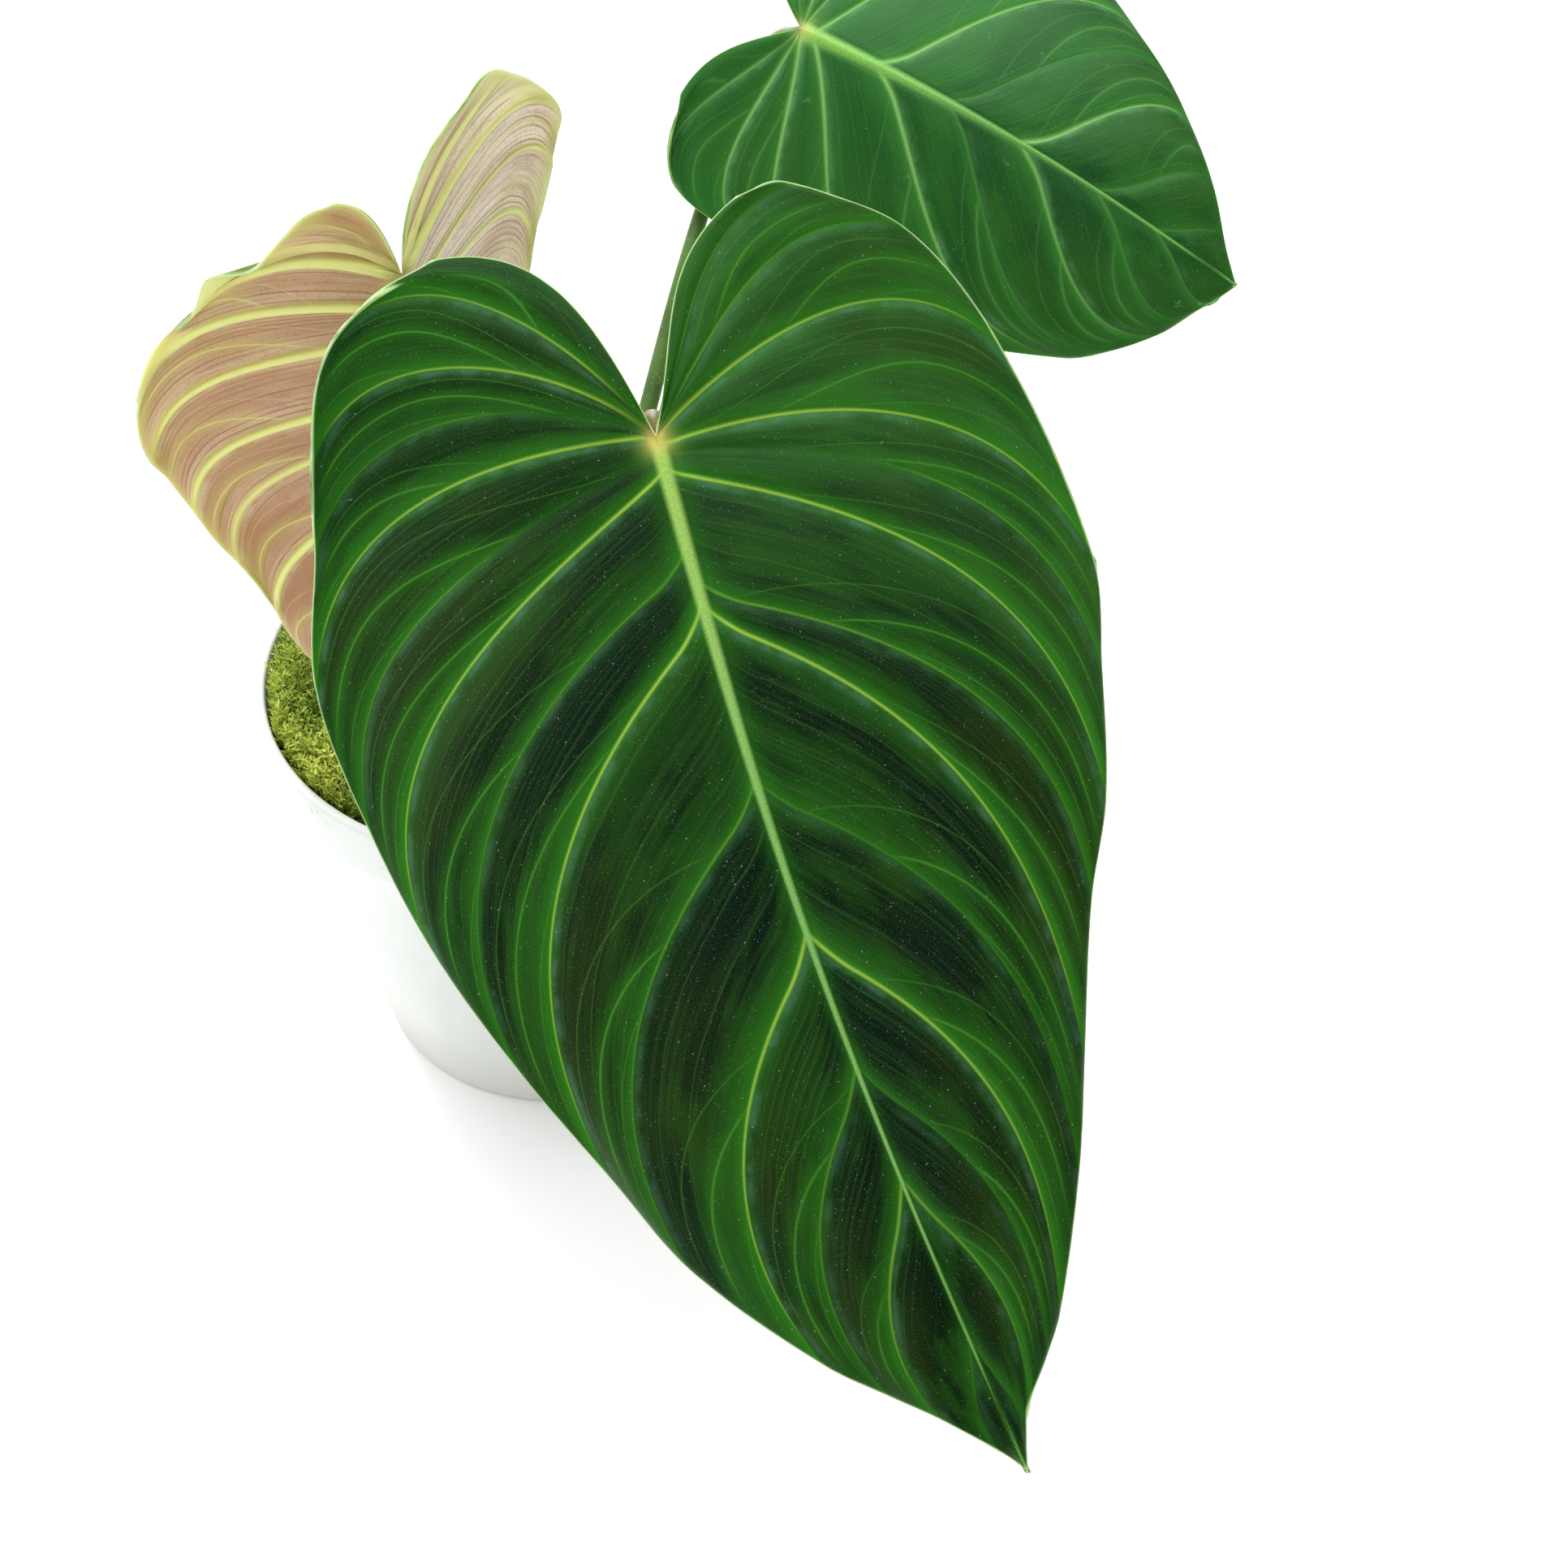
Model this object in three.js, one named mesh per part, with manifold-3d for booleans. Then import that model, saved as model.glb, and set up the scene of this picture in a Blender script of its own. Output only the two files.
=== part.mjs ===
// Potted splendid philodendron: three heart-shaped leaves on long stalks, a short creeping
// stem with a young shoot, a bed of moss over potting soil, and a plain round pot.
// Millimetres, +Z up. The origin is the centre of the pot's flat underside.
import * as THREE from 'three';
import * as BufferGeometryUtils from 'three/addons/utils/BufferGeometryUtils.js';
import Module from 'manifold-3d';

const wasm = await Module();
wasm.setup();

// Driving dimensions

const SEAT_GAP = 0.3;

const POT = {
  height: 100,
  rimRadius: 60,
  rimBand: 13,
  bandStep: 2.2,
  footRadius: 43,
  wall: 2.4,
  floor: 3,
  edgeRound: 1,
  holeRadius: 4,
  holeCircle: 25,
  holes: 5,
  holeSides: 16,
  sides: 56,
};

const SOIL_TOP = 88;
const MOSS = { edgeTop: 98, crownTop: 106, lumps: 2.2, blend: 4, rings: 9, sides: 52 };

const STEM = {
  foot: [12, -27, 62],
  lean: [12.6, -26.6, 114],
  top: [13.5, -26, 123],
  radius: 5.8,
  nodes: [104, 111, 118],
  nodeSwell: 0.9,
  nodeWidth: 1.5,
  taper: 0.9,
  endShare: 0.55,
  sides: 18,
  steps: 46,
};

const ROOT_TAPER = 0.35;
const ROOT_SIDES = 8;
const ROOT_STEPS = 10;
const ROOTS = [
  { from: [16, -28, 117], bend: [26, -31, 117.5], tip: [30.5, -33, 109.4], radius: 1.3 },
  { from: [8, -26, 111], bend: [0, -23, 113], tip: [-3.5, -20.5, 109.2], radius: 1.2 },
  { from: [11, -23, 110], bend: [7, -14, 112.5], tip: [5, -9.5, 109.2], radius: 1.1 },
];

const BLADE = { thickness: 0.8, ribRise: 1.5, ribWidth: 2, fadeIn: 0.12 };

// Each half of a blade is a fan of side veins, listed from the notch to the tip:
// [place on the midrib, leaving angle, reach sideways, reach tipwards, arriving angle, fold]
// in mm and degrees. Angles open from the tipward direction, and the fold turns the vein
// up about the midrib.
const FRONT_LEAF = {
  notch: [35, -87, 225],
  tip: [91, -205.5, 123],
  faces: [0, -1, 1],
  bow: -3.9,
  arch: 6,
  curl: -6,
  quilt: 0.9,
  wave: 0.7,
  waves: 5,
  right: [
    [0, 149, 24.5, -32, 110, 8],
    [0, 140, 33, -32, 100, 6],
    [0, 138, 48, -21, 66, 2],
    [0, 122, 58.5, 2.5, 24, -4],
    [0, 90, 61, 38.5, 6, -8],
    [3, 78, 56, 56, -4, -9],
    [6, 63, 48.5, 75.5, -10, -9],
    [26, 62, 40, 89.5, -13, -8],
    [30, 52, 30, 111, -10, -7],
    [58, 52, 22.5, 127, -12, -4],
    [82, 45, 12.5, 145.5, -16, 0],
    [103, 42, 8.5, 150.5, -14, 3],
    [121, 32, 3.5, 156.5, -16, 6],
    [146, 20, 1.5, 161.5, -8, 8],
  ],
  left: [
    [0, 173, 22.5, -38, 113, 10],
    [0, 158, 36.5, -37, 78, 6],
    [0, 154, 55.5, -11.5, 32, 0],
    [0, 128, 61.5, -1, 28, -5],
    [0, 110, 67, 13, 22, -8],
    [3, 84, 66.5, 42.5, 2, -9],
    [6, 76, 57, 80, -16, -9],
    [26, 68, 51, 92, -12, -8],
    [30, 59, 45.5, 105, -12, -7],
    [58, 58, 38, 121, -14, -4],
    [82, 50, 23, 141, -22, 0],
    [103, 46, 15.5, 148.5, -24, 3],
    [121, 36, 9.5, 154, -24, 6],
    [146, 22, 3, 161.5, -15, 8],
  ],
};

const RIGHT_LEAF = {
  notch: [58, 68, 212.5],
  tip: [145, 22, 181],
  faces: [0, -1, 1],
  bow: 1.2,
  arch: 5,
  curl: -8,
  quilt: 0.6,
  wave: 0.5,
  waves: 4,
  right: [
    [0, 150, 21.5, -16.5, 98, 0],
    [0, 124, 40, -10.5, 60, -4],
    [0, 100, 49.5, 7, 20, -8],
    [0, 80, 50.5, 25.5, 4, -10],
    [3, 66, 44.5, 45.5, -16, -11],
    [20, 60, 36.5, 59.5, -24, -10],
    [37, 56, 29.5, 71, -28, -8],
    [54, 56, 22.5, 80, -34, -6],
    [72, 46, 13.5, 90, -38, -2],
    [86, 40, 5.5, 97.5, -44, 2],
  ],
  left: [
    [0, 138, 23, -15.5, 92, 0],
    [0, 106, 39.5, -7.5, 40, -6],
    [0, 86, 43, 11.5, 18, -9],
    [0, 62, 45, 31, 2, -10],
    [3, 44, 42, 52, -10, -10],
    [20, 40, 30, 81.5, -20, -9],
    [37, 42, 24, 89, -32, -7],
    [54, 40, 16, 95.5, -40, -4],
    [72, 40, 9.5, 99, -55, 0],
    [86, 36, 4.5, 101.5, -62, 3],
  ],
};

// The youngest leaf hangs almost upright with its underside forward and is still half folded.
const LEFT_LEAF = {
  notch: [-7, -54, 232.5],
  tip: [-8.5, -37, 115],
  faces: [0, 1, 0],
  bow: 0,
  arch: -3,
  curl: 0,
  quilt: 0.9,
  wave: 1.1,
  waves: 5,
  right: [
    [0, 164, 10.5, -12.5, 95, 0],
    [0, 132, 25.5, -1, 70, 0],
    [0, 104, 35.5, 8, 50, 0],
    [5, 92, 47, 22.5, 30, 2],
    [8, 76, 49.5, 43, 14, 4],
    [18, 64, 44.5, 58.5, 2, 6],
    [26, 56, 39.5, 70.5, 0, 8],
    [40, 46, 31.5, 97.5, -20, 8],
    [62, 48, 23, 105, -45, 6],
    [84, 42, 12, 111.5, -50, 4],
    [102, 34, 3.5, 116, -50, 2],
  ],
  left: [
    [0, 176, 17.5, -18.5, 98, 60],
    [0, 152, 31, -16, 85, 60],
    [0, 128, 45.5, -4, 40, 60],
    [5, 106, 48, 13, 18, 68],
    [8, 84, 49, 32, 4, 74],
    [18, 70, 46, 52, -10, 77],
    [26, 60, 40, 68, -18, 76],
    [40, 50, 30.5, 92, -25, 70],
    [62, 48, 22, 103, -40, 62],
    [84, 42, 12, 111, -45, 55],
    [102, 34, 3.5, 116, -50, 50],
  ],
};

// A stalk runs from the stem to the underside of its blade, through the points given here.
const STALKS = {
  front: {
    points: [
      [16.3, -35, 113], [19, -39, 136], [24, -47, 168], [29.5, -61, 200],
      [33.3, -73, 217.5], [34.4, -79, 221.9], [34.8, -84, 224],
    ],
    footRadius: 2.7,
    topRadius: 1.7,
  },
  right: {
    points: [
      [16.7, -19.6, 112], [19, -8, 126], [23, 9, 142], [28, 26.5, 155.5], [34, 45.5, 170],
      [41, 64.5, 184.5], [47, 75.5, 196.5], [51.5, 78.7, 202.8], [54.8, 76, 206.8],
      [56.6, 73, 208.6], [58.6, 70.2, 210.3],
    ],
    footRadius: 2.3,
    topRadius: 1.5,
  },
  left: {
    points: [
      [9.2, -34, 117.5], [6, -45, 135], [2.5, -54, 165], [-2.5, -60.5, 203],
      [-5.8, -62, 224], [-7, -57.8, 231],
    ],
    footRadius: 2.4,
    topRadius: 1.5,
  },
};
const STALK_SIDES = 10;
const STALK_STEPS = 24;
const STALK_SHEATH = { reach: 0.08, swell: 0.9 };
const STALK_KNEE = { place: 0.97, reach: 0.035, swell: 0.35 };

const SHOOT = {
  foot: [13.6, -26, 123.6],
  bend: [16, -24, 138],
  tip: [21, -19, 163],
  radius: 3.4,
  tipRadius: 0.4,
  sides: 12,
  steps: 16,
};

// Materials

function finish(colour, roughness) {
  return new THREE.MeshStandardMaterial({ color: colour, roughness, metalness: 0 });
}

const FINISHES = {
  pot: finish(0xe4e4e0, 0.45),
  soil: finish(0x3a2a1e, 0.95),
  moss: finish(0x5f7a28, 0.95),
  stem: finish(0x5c7a3a, 0.6),
  stalk: finish(0x6f8f45, 0.55),
  darkBlade: finish(0x1f4a22, 0.55),
  greenBlade: finish(0x2c6430, 0.5),
  youngBlade: finish(0xb08a62, 0.5),
  shoot: finish(0xa8764e, 0.5),
};

// Shape helpers

function point(p) {
  return new THREE.Vector3(p[0], p[1], p[2]);
}

function bareGeometry(geometry) {
  const bare = geometry.index ? geometry.clone() : geometry;
  for (const name of Object.keys(bare.attributes)) {
    if (name !== 'position') bare.deleteAttribute(name);
  }
  return BufferGeometryUtils.mergeVertices(bare, 1e-4);
}

function solid(geometry) {
  const merged = bareGeometry(geometry);
  return new wasm.Manifold(new wasm.Mesh({
    numProp: 3,
    vertProperties: new Float32Array(merged.attributes.position.array),
    triVerts: new Uint32Array(merged.index.array),
  }));
}

function geometryOf(manifold) {
  const mesh = manifold.getMesh();
  const geometry = new THREE.BufferGeometry();
  geometry.setAttribute('position', new THREE.BufferAttribute(mesh.vertProperties, 3));
  geometry.setIndex(new THREE.BufferAttribute(mesh.triVerts, 1));
  return geometry;
}

function turned(profile, sides) {
  const outline = profile.map((p) => new THREE.Vector2(p[0], p[1]));
  return new THREE.LatheGeometry(outline, sides).rotateX(Math.PI / 2);
}

// A closed rod bent along a curve, with its radius given by the distance travelled, 0 to 1.
function rod(curve, radiusAt, sides, steps) {
  const geometry = new THREE.CylinderGeometry(1, 1, 1, sides, steps);
  const frames = curve.computeFrenetFrames(steps, false);
  const positions = geometry.attributes.position;
  for (let i = 0; i < positions.count; i += 1) {
    const along = positions.getY(i) + 0.5;
    const step = Math.round(along * steps);
    const radius = radiusAt(along);
    const place = curve.getPointAt(along);
    place.addScaledVector(frames.normals[step], positions.getX(i) * radius);
    place.addScaledVector(frames.binormals[step], -positions.getZ(i) * radius);
    positions.setXYZ(i, place.x, place.y, place.z);
  }
  return geometry;
}

function smoothCurve(points) {
  return new THREE.CatmullRomCurve3(points.map(point), false, 'centripetal');
}

function lerp(a, b, f) {
  return a + (b - a) * f;
}

// Reads a table between its rows. With distances given, the slopes allow for uneven spacing.
function between(rows, columns, phase, byDistance) {
  const last = rows.length - 1;
  const i = Math.min(Math.floor(phase), last - 1);
  const f = phase - i;
  const neighbours = [Math.max(i - 1, 0), i, i + 1, Math.min(i + 2, last)];
  const near = neighbours.map((k) => columns.map((c) => rows[k][c]));
  const tiny = 1e-9;
  const span = (a, b) => (byDistance ? Math.hypot(...a.map((v, k) => v - b[k])) + tiny : 1);
  const before = span(near[1], near[0]);
  const here = span(near[2], near[1]);
  const after = span(near[3], near[2]);
  return columns.map((c, k) => {
    const startSlope = (near[2][k] - near[0][k]) * here / (before + here);
    const endSlope = (near[3][k] - near[1][k]) * here / (here + after);
    const ease = f * f * (3 - 2 * f);
    const slopes = startSlope * f * (1 - f) ** 2 - endSlope * f * f * (1 - f);
    return lerp(near[1][k], near[2][k], ease) + slopes;
  });
}

// Blades

const VEIN_HANDLE = 0.41;
const CURL_REACH = 50;
const CUSHION_POWER = 0.7;
const BLADE_COLUMNS = [0, 0.035, 0.1, 0.2, 0.32, 0.45, 0.58, 0.71, 0.83, 0.93, 1];
const ROWS_PER_VEIN = 2;

function leafAxes(leaf) {
  const origin = point(leaf.notch);
  const tipward = point(leaf.tip).sub(origin);
  const length = tipward.length();
  tipward.normalize();
  const up = point(leaf.faces);
  up.addScaledVector(tipward, -up.dot(tipward)).normalize();
  const sideways = new THREE.Vector3().crossVectors(up, tipward);
  return { origin, tipward, up, sideways, length };
}

// A place on the upper face, by the vein's number and how far along the vein it lies.
function bladePlace(leaf, axes, side, phase, along) {
  const rows = [...(side > 0 ? leaf.right : leaf.left), [axes.length, 0, 0, axes.length, 0, 0]];
  const i = Math.min(Math.floor(phase), rows.length - 2);
  const station = lerp(rows[i][0], rows[i + 1][0], phase - i);
  const [reach, forward] = between(rows, [2, 3], phase, true);
  const [leaving, arriving, fold] = between(rows, [1, 4, 5], phase, false);
  const bowAt = (v) => leaf.bow * Math.sin(Math.PI * Math.min(Math.max(v / axes.length, 0), 1));
  const start = new THREE.Vector2(side * bowAt(station), station);
  const end = new THREE.Vector2(reach, forward);
  const handle = start.distanceTo(end) * VEIN_HANDLE;
  const heading = (degrees) => {
    const turn = THREE.MathUtils.degToRad(degrees);
    return new THREE.Vector2(Math.sin(turn), Math.cos(turn));
  };
  const vein = new THREE.CubicBezierCurve(
    start,
    start.clone().addScaledVector(heading(leaving), handle),
    end.clone().addScaledVector(heading(arriving), -handle),
    end,
  );
  const flat = vein.getPoint(along);
  const out = flat.x - side * bowAt(flat.y);
  const lift = THREE.MathUtils.degToRad(fold + leaf.curl * out / CURL_REACH);
  const fromMiddle = flat.y / (axes.length / 2) - 1;
  const cushion = Math.abs(Math.sin(Math.PI * phase)) ** CUSHION_POWER;
  const fade = Math.min(1, along / BLADE.fadeIn) * (1 - along ** 4);
  const ripple = Math.sin(2 * Math.PI * leaf.waves * phase / (rows.length - 1) + side);
  const height = out * Math.sin(lift) + leaf.arch * (1 - fromMiddle ** 2)
    + leaf.quilt * cushion * fade + leaf.wave * ripple * along ** 3;
  const place = axes.origin.clone();
  place.addScaledVector(axes.sideways, bowAt(flat.y) + side * out * Math.cos(lift));
  place.addScaledVector(axes.tipward, flat.y);
  return place.addScaledVector(axes.up, height);
}

// Half of the upper face as rows of vertices, shared with the other half along the midrib.
function bladeRows(leaf, axes, side, vertexAt) {
  const lastPhase = leaf.right.length;
  const rows = [];
  for (let r = 0; r <= lastPhase * ROWS_PER_VEIN; r += 1) {
    const phase = r / ROWS_PER_VEIN;
    rows.push(BLADE_COLUMNS.map((along) => {
      const fromRib = along * CURL_REACH / BLADE.ribWidth;
      const rib = Math.exp(-(fromRib ** 2)) * (1 - phase / lastPhase);
      const depth = BLADE.thickness + BLADE.ribRise * rib;
      return vertexAt(bladePlace(leaf, axes, side, phase, along), depth);
    }));
  }
  return rows;
}

function blade(leaf) {
  const axes = leafAxes(leaf);
  const places = [];
  const depths = [];
  const known = new Map();
  const vertexAt = (place, depth) => {
    const key = [place.x, place.y, place.z].map((v) => v.toFixed(3)).join();
    if (!known.has(key)) {
      known.set(key, places.length);
      places.push(place);
      depths.push(depth);
    }
    return known.get(key);
  };
  const top = [];
  const addTriangle = (a, b, c) => {
    if (a !== b && b !== c && a !== c) top.push([a, b, c]);
  };
  for (const side of [1, -1]) {
    const rows = bladeRows(leaf, axes, side, vertexAt);
    for (let r = 0; r < rows.length - 1; r += 1) {
      for (let c = 0; c < BLADE_COLUMNS.length - 1; c += 1) {
        const corners = [rows[r][c], rows[r + 1][c], rows[r + 1][c + 1], rows[r][c + 1]];
        if (side < 0) corners.reverse();
        addTriangle(corners[0], corners[1], corners[2]);
        addTriangle(corners[0], corners[2], corners[3]);
      }
    }
  }
  return thickened(places, depths, top);
}

// Gives a sheet its thickness: the lower face is set back along the sheet's own normals and
// split into triangles as the upper one is, and a rim joins the two along the open edge.
function thickened(places, depths, top) {
  const sheet = new THREE.BufferGeometry().setFromPoints(places);
  sheet.setIndex(top.flat());
  sheet.computeVertexNormals();
  const normal = new THREE.Vector3();
  const lower = places.map((place, i) => {
    normal.fromBufferAttribute(sheet.attributes.normal, i);
    return place.clone().addScaledVector(normal, -depths[i]);
  });
  const below = places.length;
  const triangles = [...top, ...top.map(([a, b, c]) => [a + below, c + below, b + below])];
  const used = new Set(top.flatMap(([a, b, c]) => [`${a},${b}`, `${b},${c}`, `${c},${a}`]));
  for (const edge of used) {
    const [a, b] = edge.split(',').map(Number);
    if (!used.has(`${b},${a}`)) triangles.push([b, a, a + below], [b, a + below, b + below]);
  }
  const geometry = new THREE.BufferGeometry().setFromPoints([...places, ...lower]);
  geometry.setIndex(triangles.flat());
  return geometry;
}

// Pot, soil and moss

// The pot's inner outline from the rim down to the middle of the floor, set in by a gap.
function potInside(gap, top) {
  const bandFoot = POT.height - POT.rimBand;
  const rim = POT.rimRadius - POT.wall - gap;
  const foot = POT.footRadius - POT.wall - gap;
  return [
    [rim, top],
    [rim, bandFoot],
    [rim - POT.bandStep, bandFoot - 1.5 * POT.bandStep],
    [foot + 0.4 * POT.edgeRound, POT.floor + gap + POT.edgeRound],
    [foot - POT.edgeRound, POT.floor + gap],
    [0, POT.floor + gap],
  ];
}

function potGeometry() {
  const bandFoot = POT.height - POT.rimBand;
  const round = POT.edgeRound;
  const shell = turned([
    [0, 0],
    [POT.footRadius - round, 0],
    [POT.footRadius, round],
    [POT.rimRadius - POT.bandStep, bandFoot - round],
    [POT.rimRadius - round / 2, bandFoot],
    [POT.rimRadius, bandFoot + round],
    [POT.rimRadius, POT.height - round],
    [POT.rimRadius - round, POT.height],
    [POT.rimRadius - POT.wall + round / 2, POT.height],
    ...potInside(0, POT.height - round),
  ], POT.sides);
  let pot = solid(shell);
  for (let i = 0; i < POT.holes; i += 1) {
    const angle = 2 * Math.PI * i / POT.holes;
    const reach = 4 * POT.floor;
    const hole = new THREE.CylinderGeometry(POT.holeRadius, POT.holeRadius, reach, POT.holeSides);
    hole.rotateX(Math.PI / 2);
    hole.translate(POT.holeCircle * Math.cos(angle), POT.holeCircle * Math.sin(angle), 0);
    pot = pot.subtract(solid(hole));
  }
  return geometryOf(pot);
}

function stemHole() {
  const room = STEM.radius + STEM.nodeSwell + SEAT_GAP;
  const depth = 2 * (MOSS.crownTop - STEM.foot[2] + SEAT_GAP);
  const hole = new THREE.CylinderGeometry(room, room, depth, 20);
  hole.rotateX(Math.PI / 2);
  hole.translate(STEM.foot[0], STEM.foot[1], STEM.foot[2] - SEAT_GAP + depth / 2);
  return solid(hole);
}

function soilGeometry() {
  const outline = potInside(SEAT_GAP, SOIL_TOP).reverse();
  const fill = turned([...outline, [0, SOIL_TOP]], POT.sides);
  return geometryOf(solid(fill).subtract(stemHole()));
}

// Rounded lumps, each some 25 mm across, from -1 to 1.
function lumpAt(x, y) {
  return Math.sin(0.23 * x + 1.3 * Math.sin(0.11 * y)) * Math.cos(0.21 * y + 1.1 * Math.sin(0.13 * x));
}

// The moss is a low cushion: a dome with rounded lumps, lying on the soil.
function mossGeometry() {
  const edge = POT.rimRadius - POT.wall - 2 * SEAT_GAP;
  const foot = SOIL_TOP + SEAT_GAP;
  const shoulder = MOSS.edgeTop - MOSS.blend;
  const profile = [[0, foot], [edge, foot], [edge, shoulder]];
  for (let i = 0; i <= MOSS.rings; i += 1) {
    const inwards = i / MOSS.rings;
    const rise = Math.sin(Math.PI / 2 * Math.sqrt(inwards));
    profile.push([(edge - 0.4) * (1 - inwards), lerp(shoulder + 1, MOSS.crownTop, rise)]);
  }
  const dome = turned(profile, MOSS.sides);
  const positions = dome.attributes.position;
  for (let i = 0; i < positions.count; i += 1) {
    const z = positions.getZ(i);
    const upper = THREE.MathUtils.smoothstep(z, shoulder, MOSS.edgeTop + MOSS.blend);
    positions.setZ(i, z + MOSS.lumps * lumpAt(positions.getX(i), positions.getY(i)) * upper);
  }
  return geometryOf(solid(dome).subtract(stemHole()));
}

// Stem, stalks and shoot

function stemGeometry() {
  const foot = STEM.foot;
  const path = new THREE.CatmullRomCurve3([
    point(foot),
    point([foot[0], foot[1], SOIL_TOP]),
    point([foot[0], foot[1], MOSS.crownTop]),
    point(STEM.lean),
    point(STEM.top),
  ], false, 'centripetal');
  const radiusAt = (along) => {
    const z = path.getPointAt(along).z;
    const swell = Math.max(...STEM.nodes.map((node) => Math.exp(-(((z - node) / STEM.nodeWidth) ** 2))));
    const fromEnd = Math.min(along, 1 - along);
    const end = Math.min(1, STEM.endShare + 6 * fromEnd);
    return end * (STEM.radius - STEM.taper * along + STEM.nodeSwell * swell);
  };
  let stem = solid(rod(path, radiusAt, STEM.sides, STEM.steps));
  for (const root of ROOTS) {
    const curve = smoothCurve([root.from, root.bend, root.tip]);
    const rootRadius = (along) => root.radius * (1 - ROOT_TAPER * along);
    stem = stem.add(solid(rod(curve, rootRadius, ROOT_SIDES, ROOT_STEPS)));
  }
  return geometryOf(stem);
}

function stalkGeometry(stalk) {
  const radiusAt = (along) => {
    const sheath = STALK_SHEATH.swell * Math.exp(-((along / STALK_SHEATH.reach) ** 2));
    const fromKnee = (along - STALK_KNEE.place) / STALK_KNEE.reach;
    const knee = STALK_KNEE.swell * Math.exp(-(fromKnee ** 2));
    return lerp(stalk.footRadius, stalk.topRadius, along) + sheath + knee;
  };
  return rod(smoothCurve(stalk.points), radiusAt, STALK_SIDES, STALK_STEPS);
}

function shootGeometry() {
  const belly = (along) => (1 - along) ** 0.6 * (0.8 + 0.9 * along);
  const radiusAt = (along) => Math.max(SHOOT.tipRadius, SHOOT.radius * belly(along));
  return rod(smoothCurve([SHOOT.foot, SHOOT.bend, SHOOT.tip]), radiusAt, SHOOT.sides, SHOOT.steps);
}

// The object

const plant = new THREE.Group();

function place(name, geometry, material) {
  const mesh = new THREE.Mesh(geometry, material);
  mesh.name = name;
  plant.add(mesh);
}

place('pot', potGeometry(), FINISHES.pot);
place('soil', soilGeometry(), FINISHES.soil);
place('moss', mossGeometry(), FINISHES.moss);
place('stem', stemGeometry(), FINISHES.stem);
place('young_shoot', shootGeometry(), FINISHES.shoot);
place('stalk_front', stalkGeometry(STALKS.front), FINISHES.stalk);
place('stalk_right', stalkGeometry(STALKS.right), FINISHES.stalk);
place('stalk_left', stalkGeometry(STALKS.left), FINISHES.stalk);
place('blade_front', blade(FRONT_LEAF), FINISHES.darkBlade);
place('blade_right', blade(RIGHT_LEAF), FINISHES.greenBlade);
place('blade_left', blade(LEFT_LEAF), FINISHES.youngBlade);

export default plant;
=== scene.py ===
import math
import random
from functools import lru_cache

import bmesh
import bpy
from mathutils import Matrix, Vector, noise


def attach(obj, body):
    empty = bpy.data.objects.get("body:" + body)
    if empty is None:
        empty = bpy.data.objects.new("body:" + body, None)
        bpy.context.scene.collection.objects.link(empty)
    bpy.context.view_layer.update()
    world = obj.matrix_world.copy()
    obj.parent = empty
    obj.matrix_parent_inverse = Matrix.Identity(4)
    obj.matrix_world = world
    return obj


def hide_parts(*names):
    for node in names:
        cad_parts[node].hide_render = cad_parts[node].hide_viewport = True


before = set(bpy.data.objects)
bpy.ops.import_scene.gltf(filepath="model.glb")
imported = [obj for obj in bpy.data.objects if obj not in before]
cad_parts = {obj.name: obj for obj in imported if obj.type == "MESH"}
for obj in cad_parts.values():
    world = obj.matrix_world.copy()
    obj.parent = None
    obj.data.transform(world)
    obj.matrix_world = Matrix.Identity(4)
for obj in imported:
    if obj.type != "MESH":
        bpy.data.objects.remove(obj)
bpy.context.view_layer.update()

MM = 0.001

# Camera

CAMERA_PLACE = (0.0547, -0.3807, 0.44305)
CAMERA_TILT = math.radians(45)
CAMERA_LENS = 54.04

camera_data = bpy.data.cameras.new("camera")
camera_data.lens = CAMERA_LENS
camera_data.sensor_width = 36
camera_data.clip_start = 0.01
camera = bpy.data.objects.new("camera", camera_data)
camera.location = CAMERA_PLACE
camera.rotation_euler = (CAMERA_TILT, 0, 0)
bpy.context.scene.collection.objects.link(camera)
bpy.context.scene.camera = camera


# Shader maths


def srgb(red, green, blue):
    """A screen colour, 0 to 255, as the linear colour that a shader takes."""

    def linear(part):
        part /= 255
        return part / 12.92 if part <= 0.04045 else ((part + 0.055) / 1.055) ** 2.4

    return (linear(red), linear(green), linear(blue), 1.0)


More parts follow.
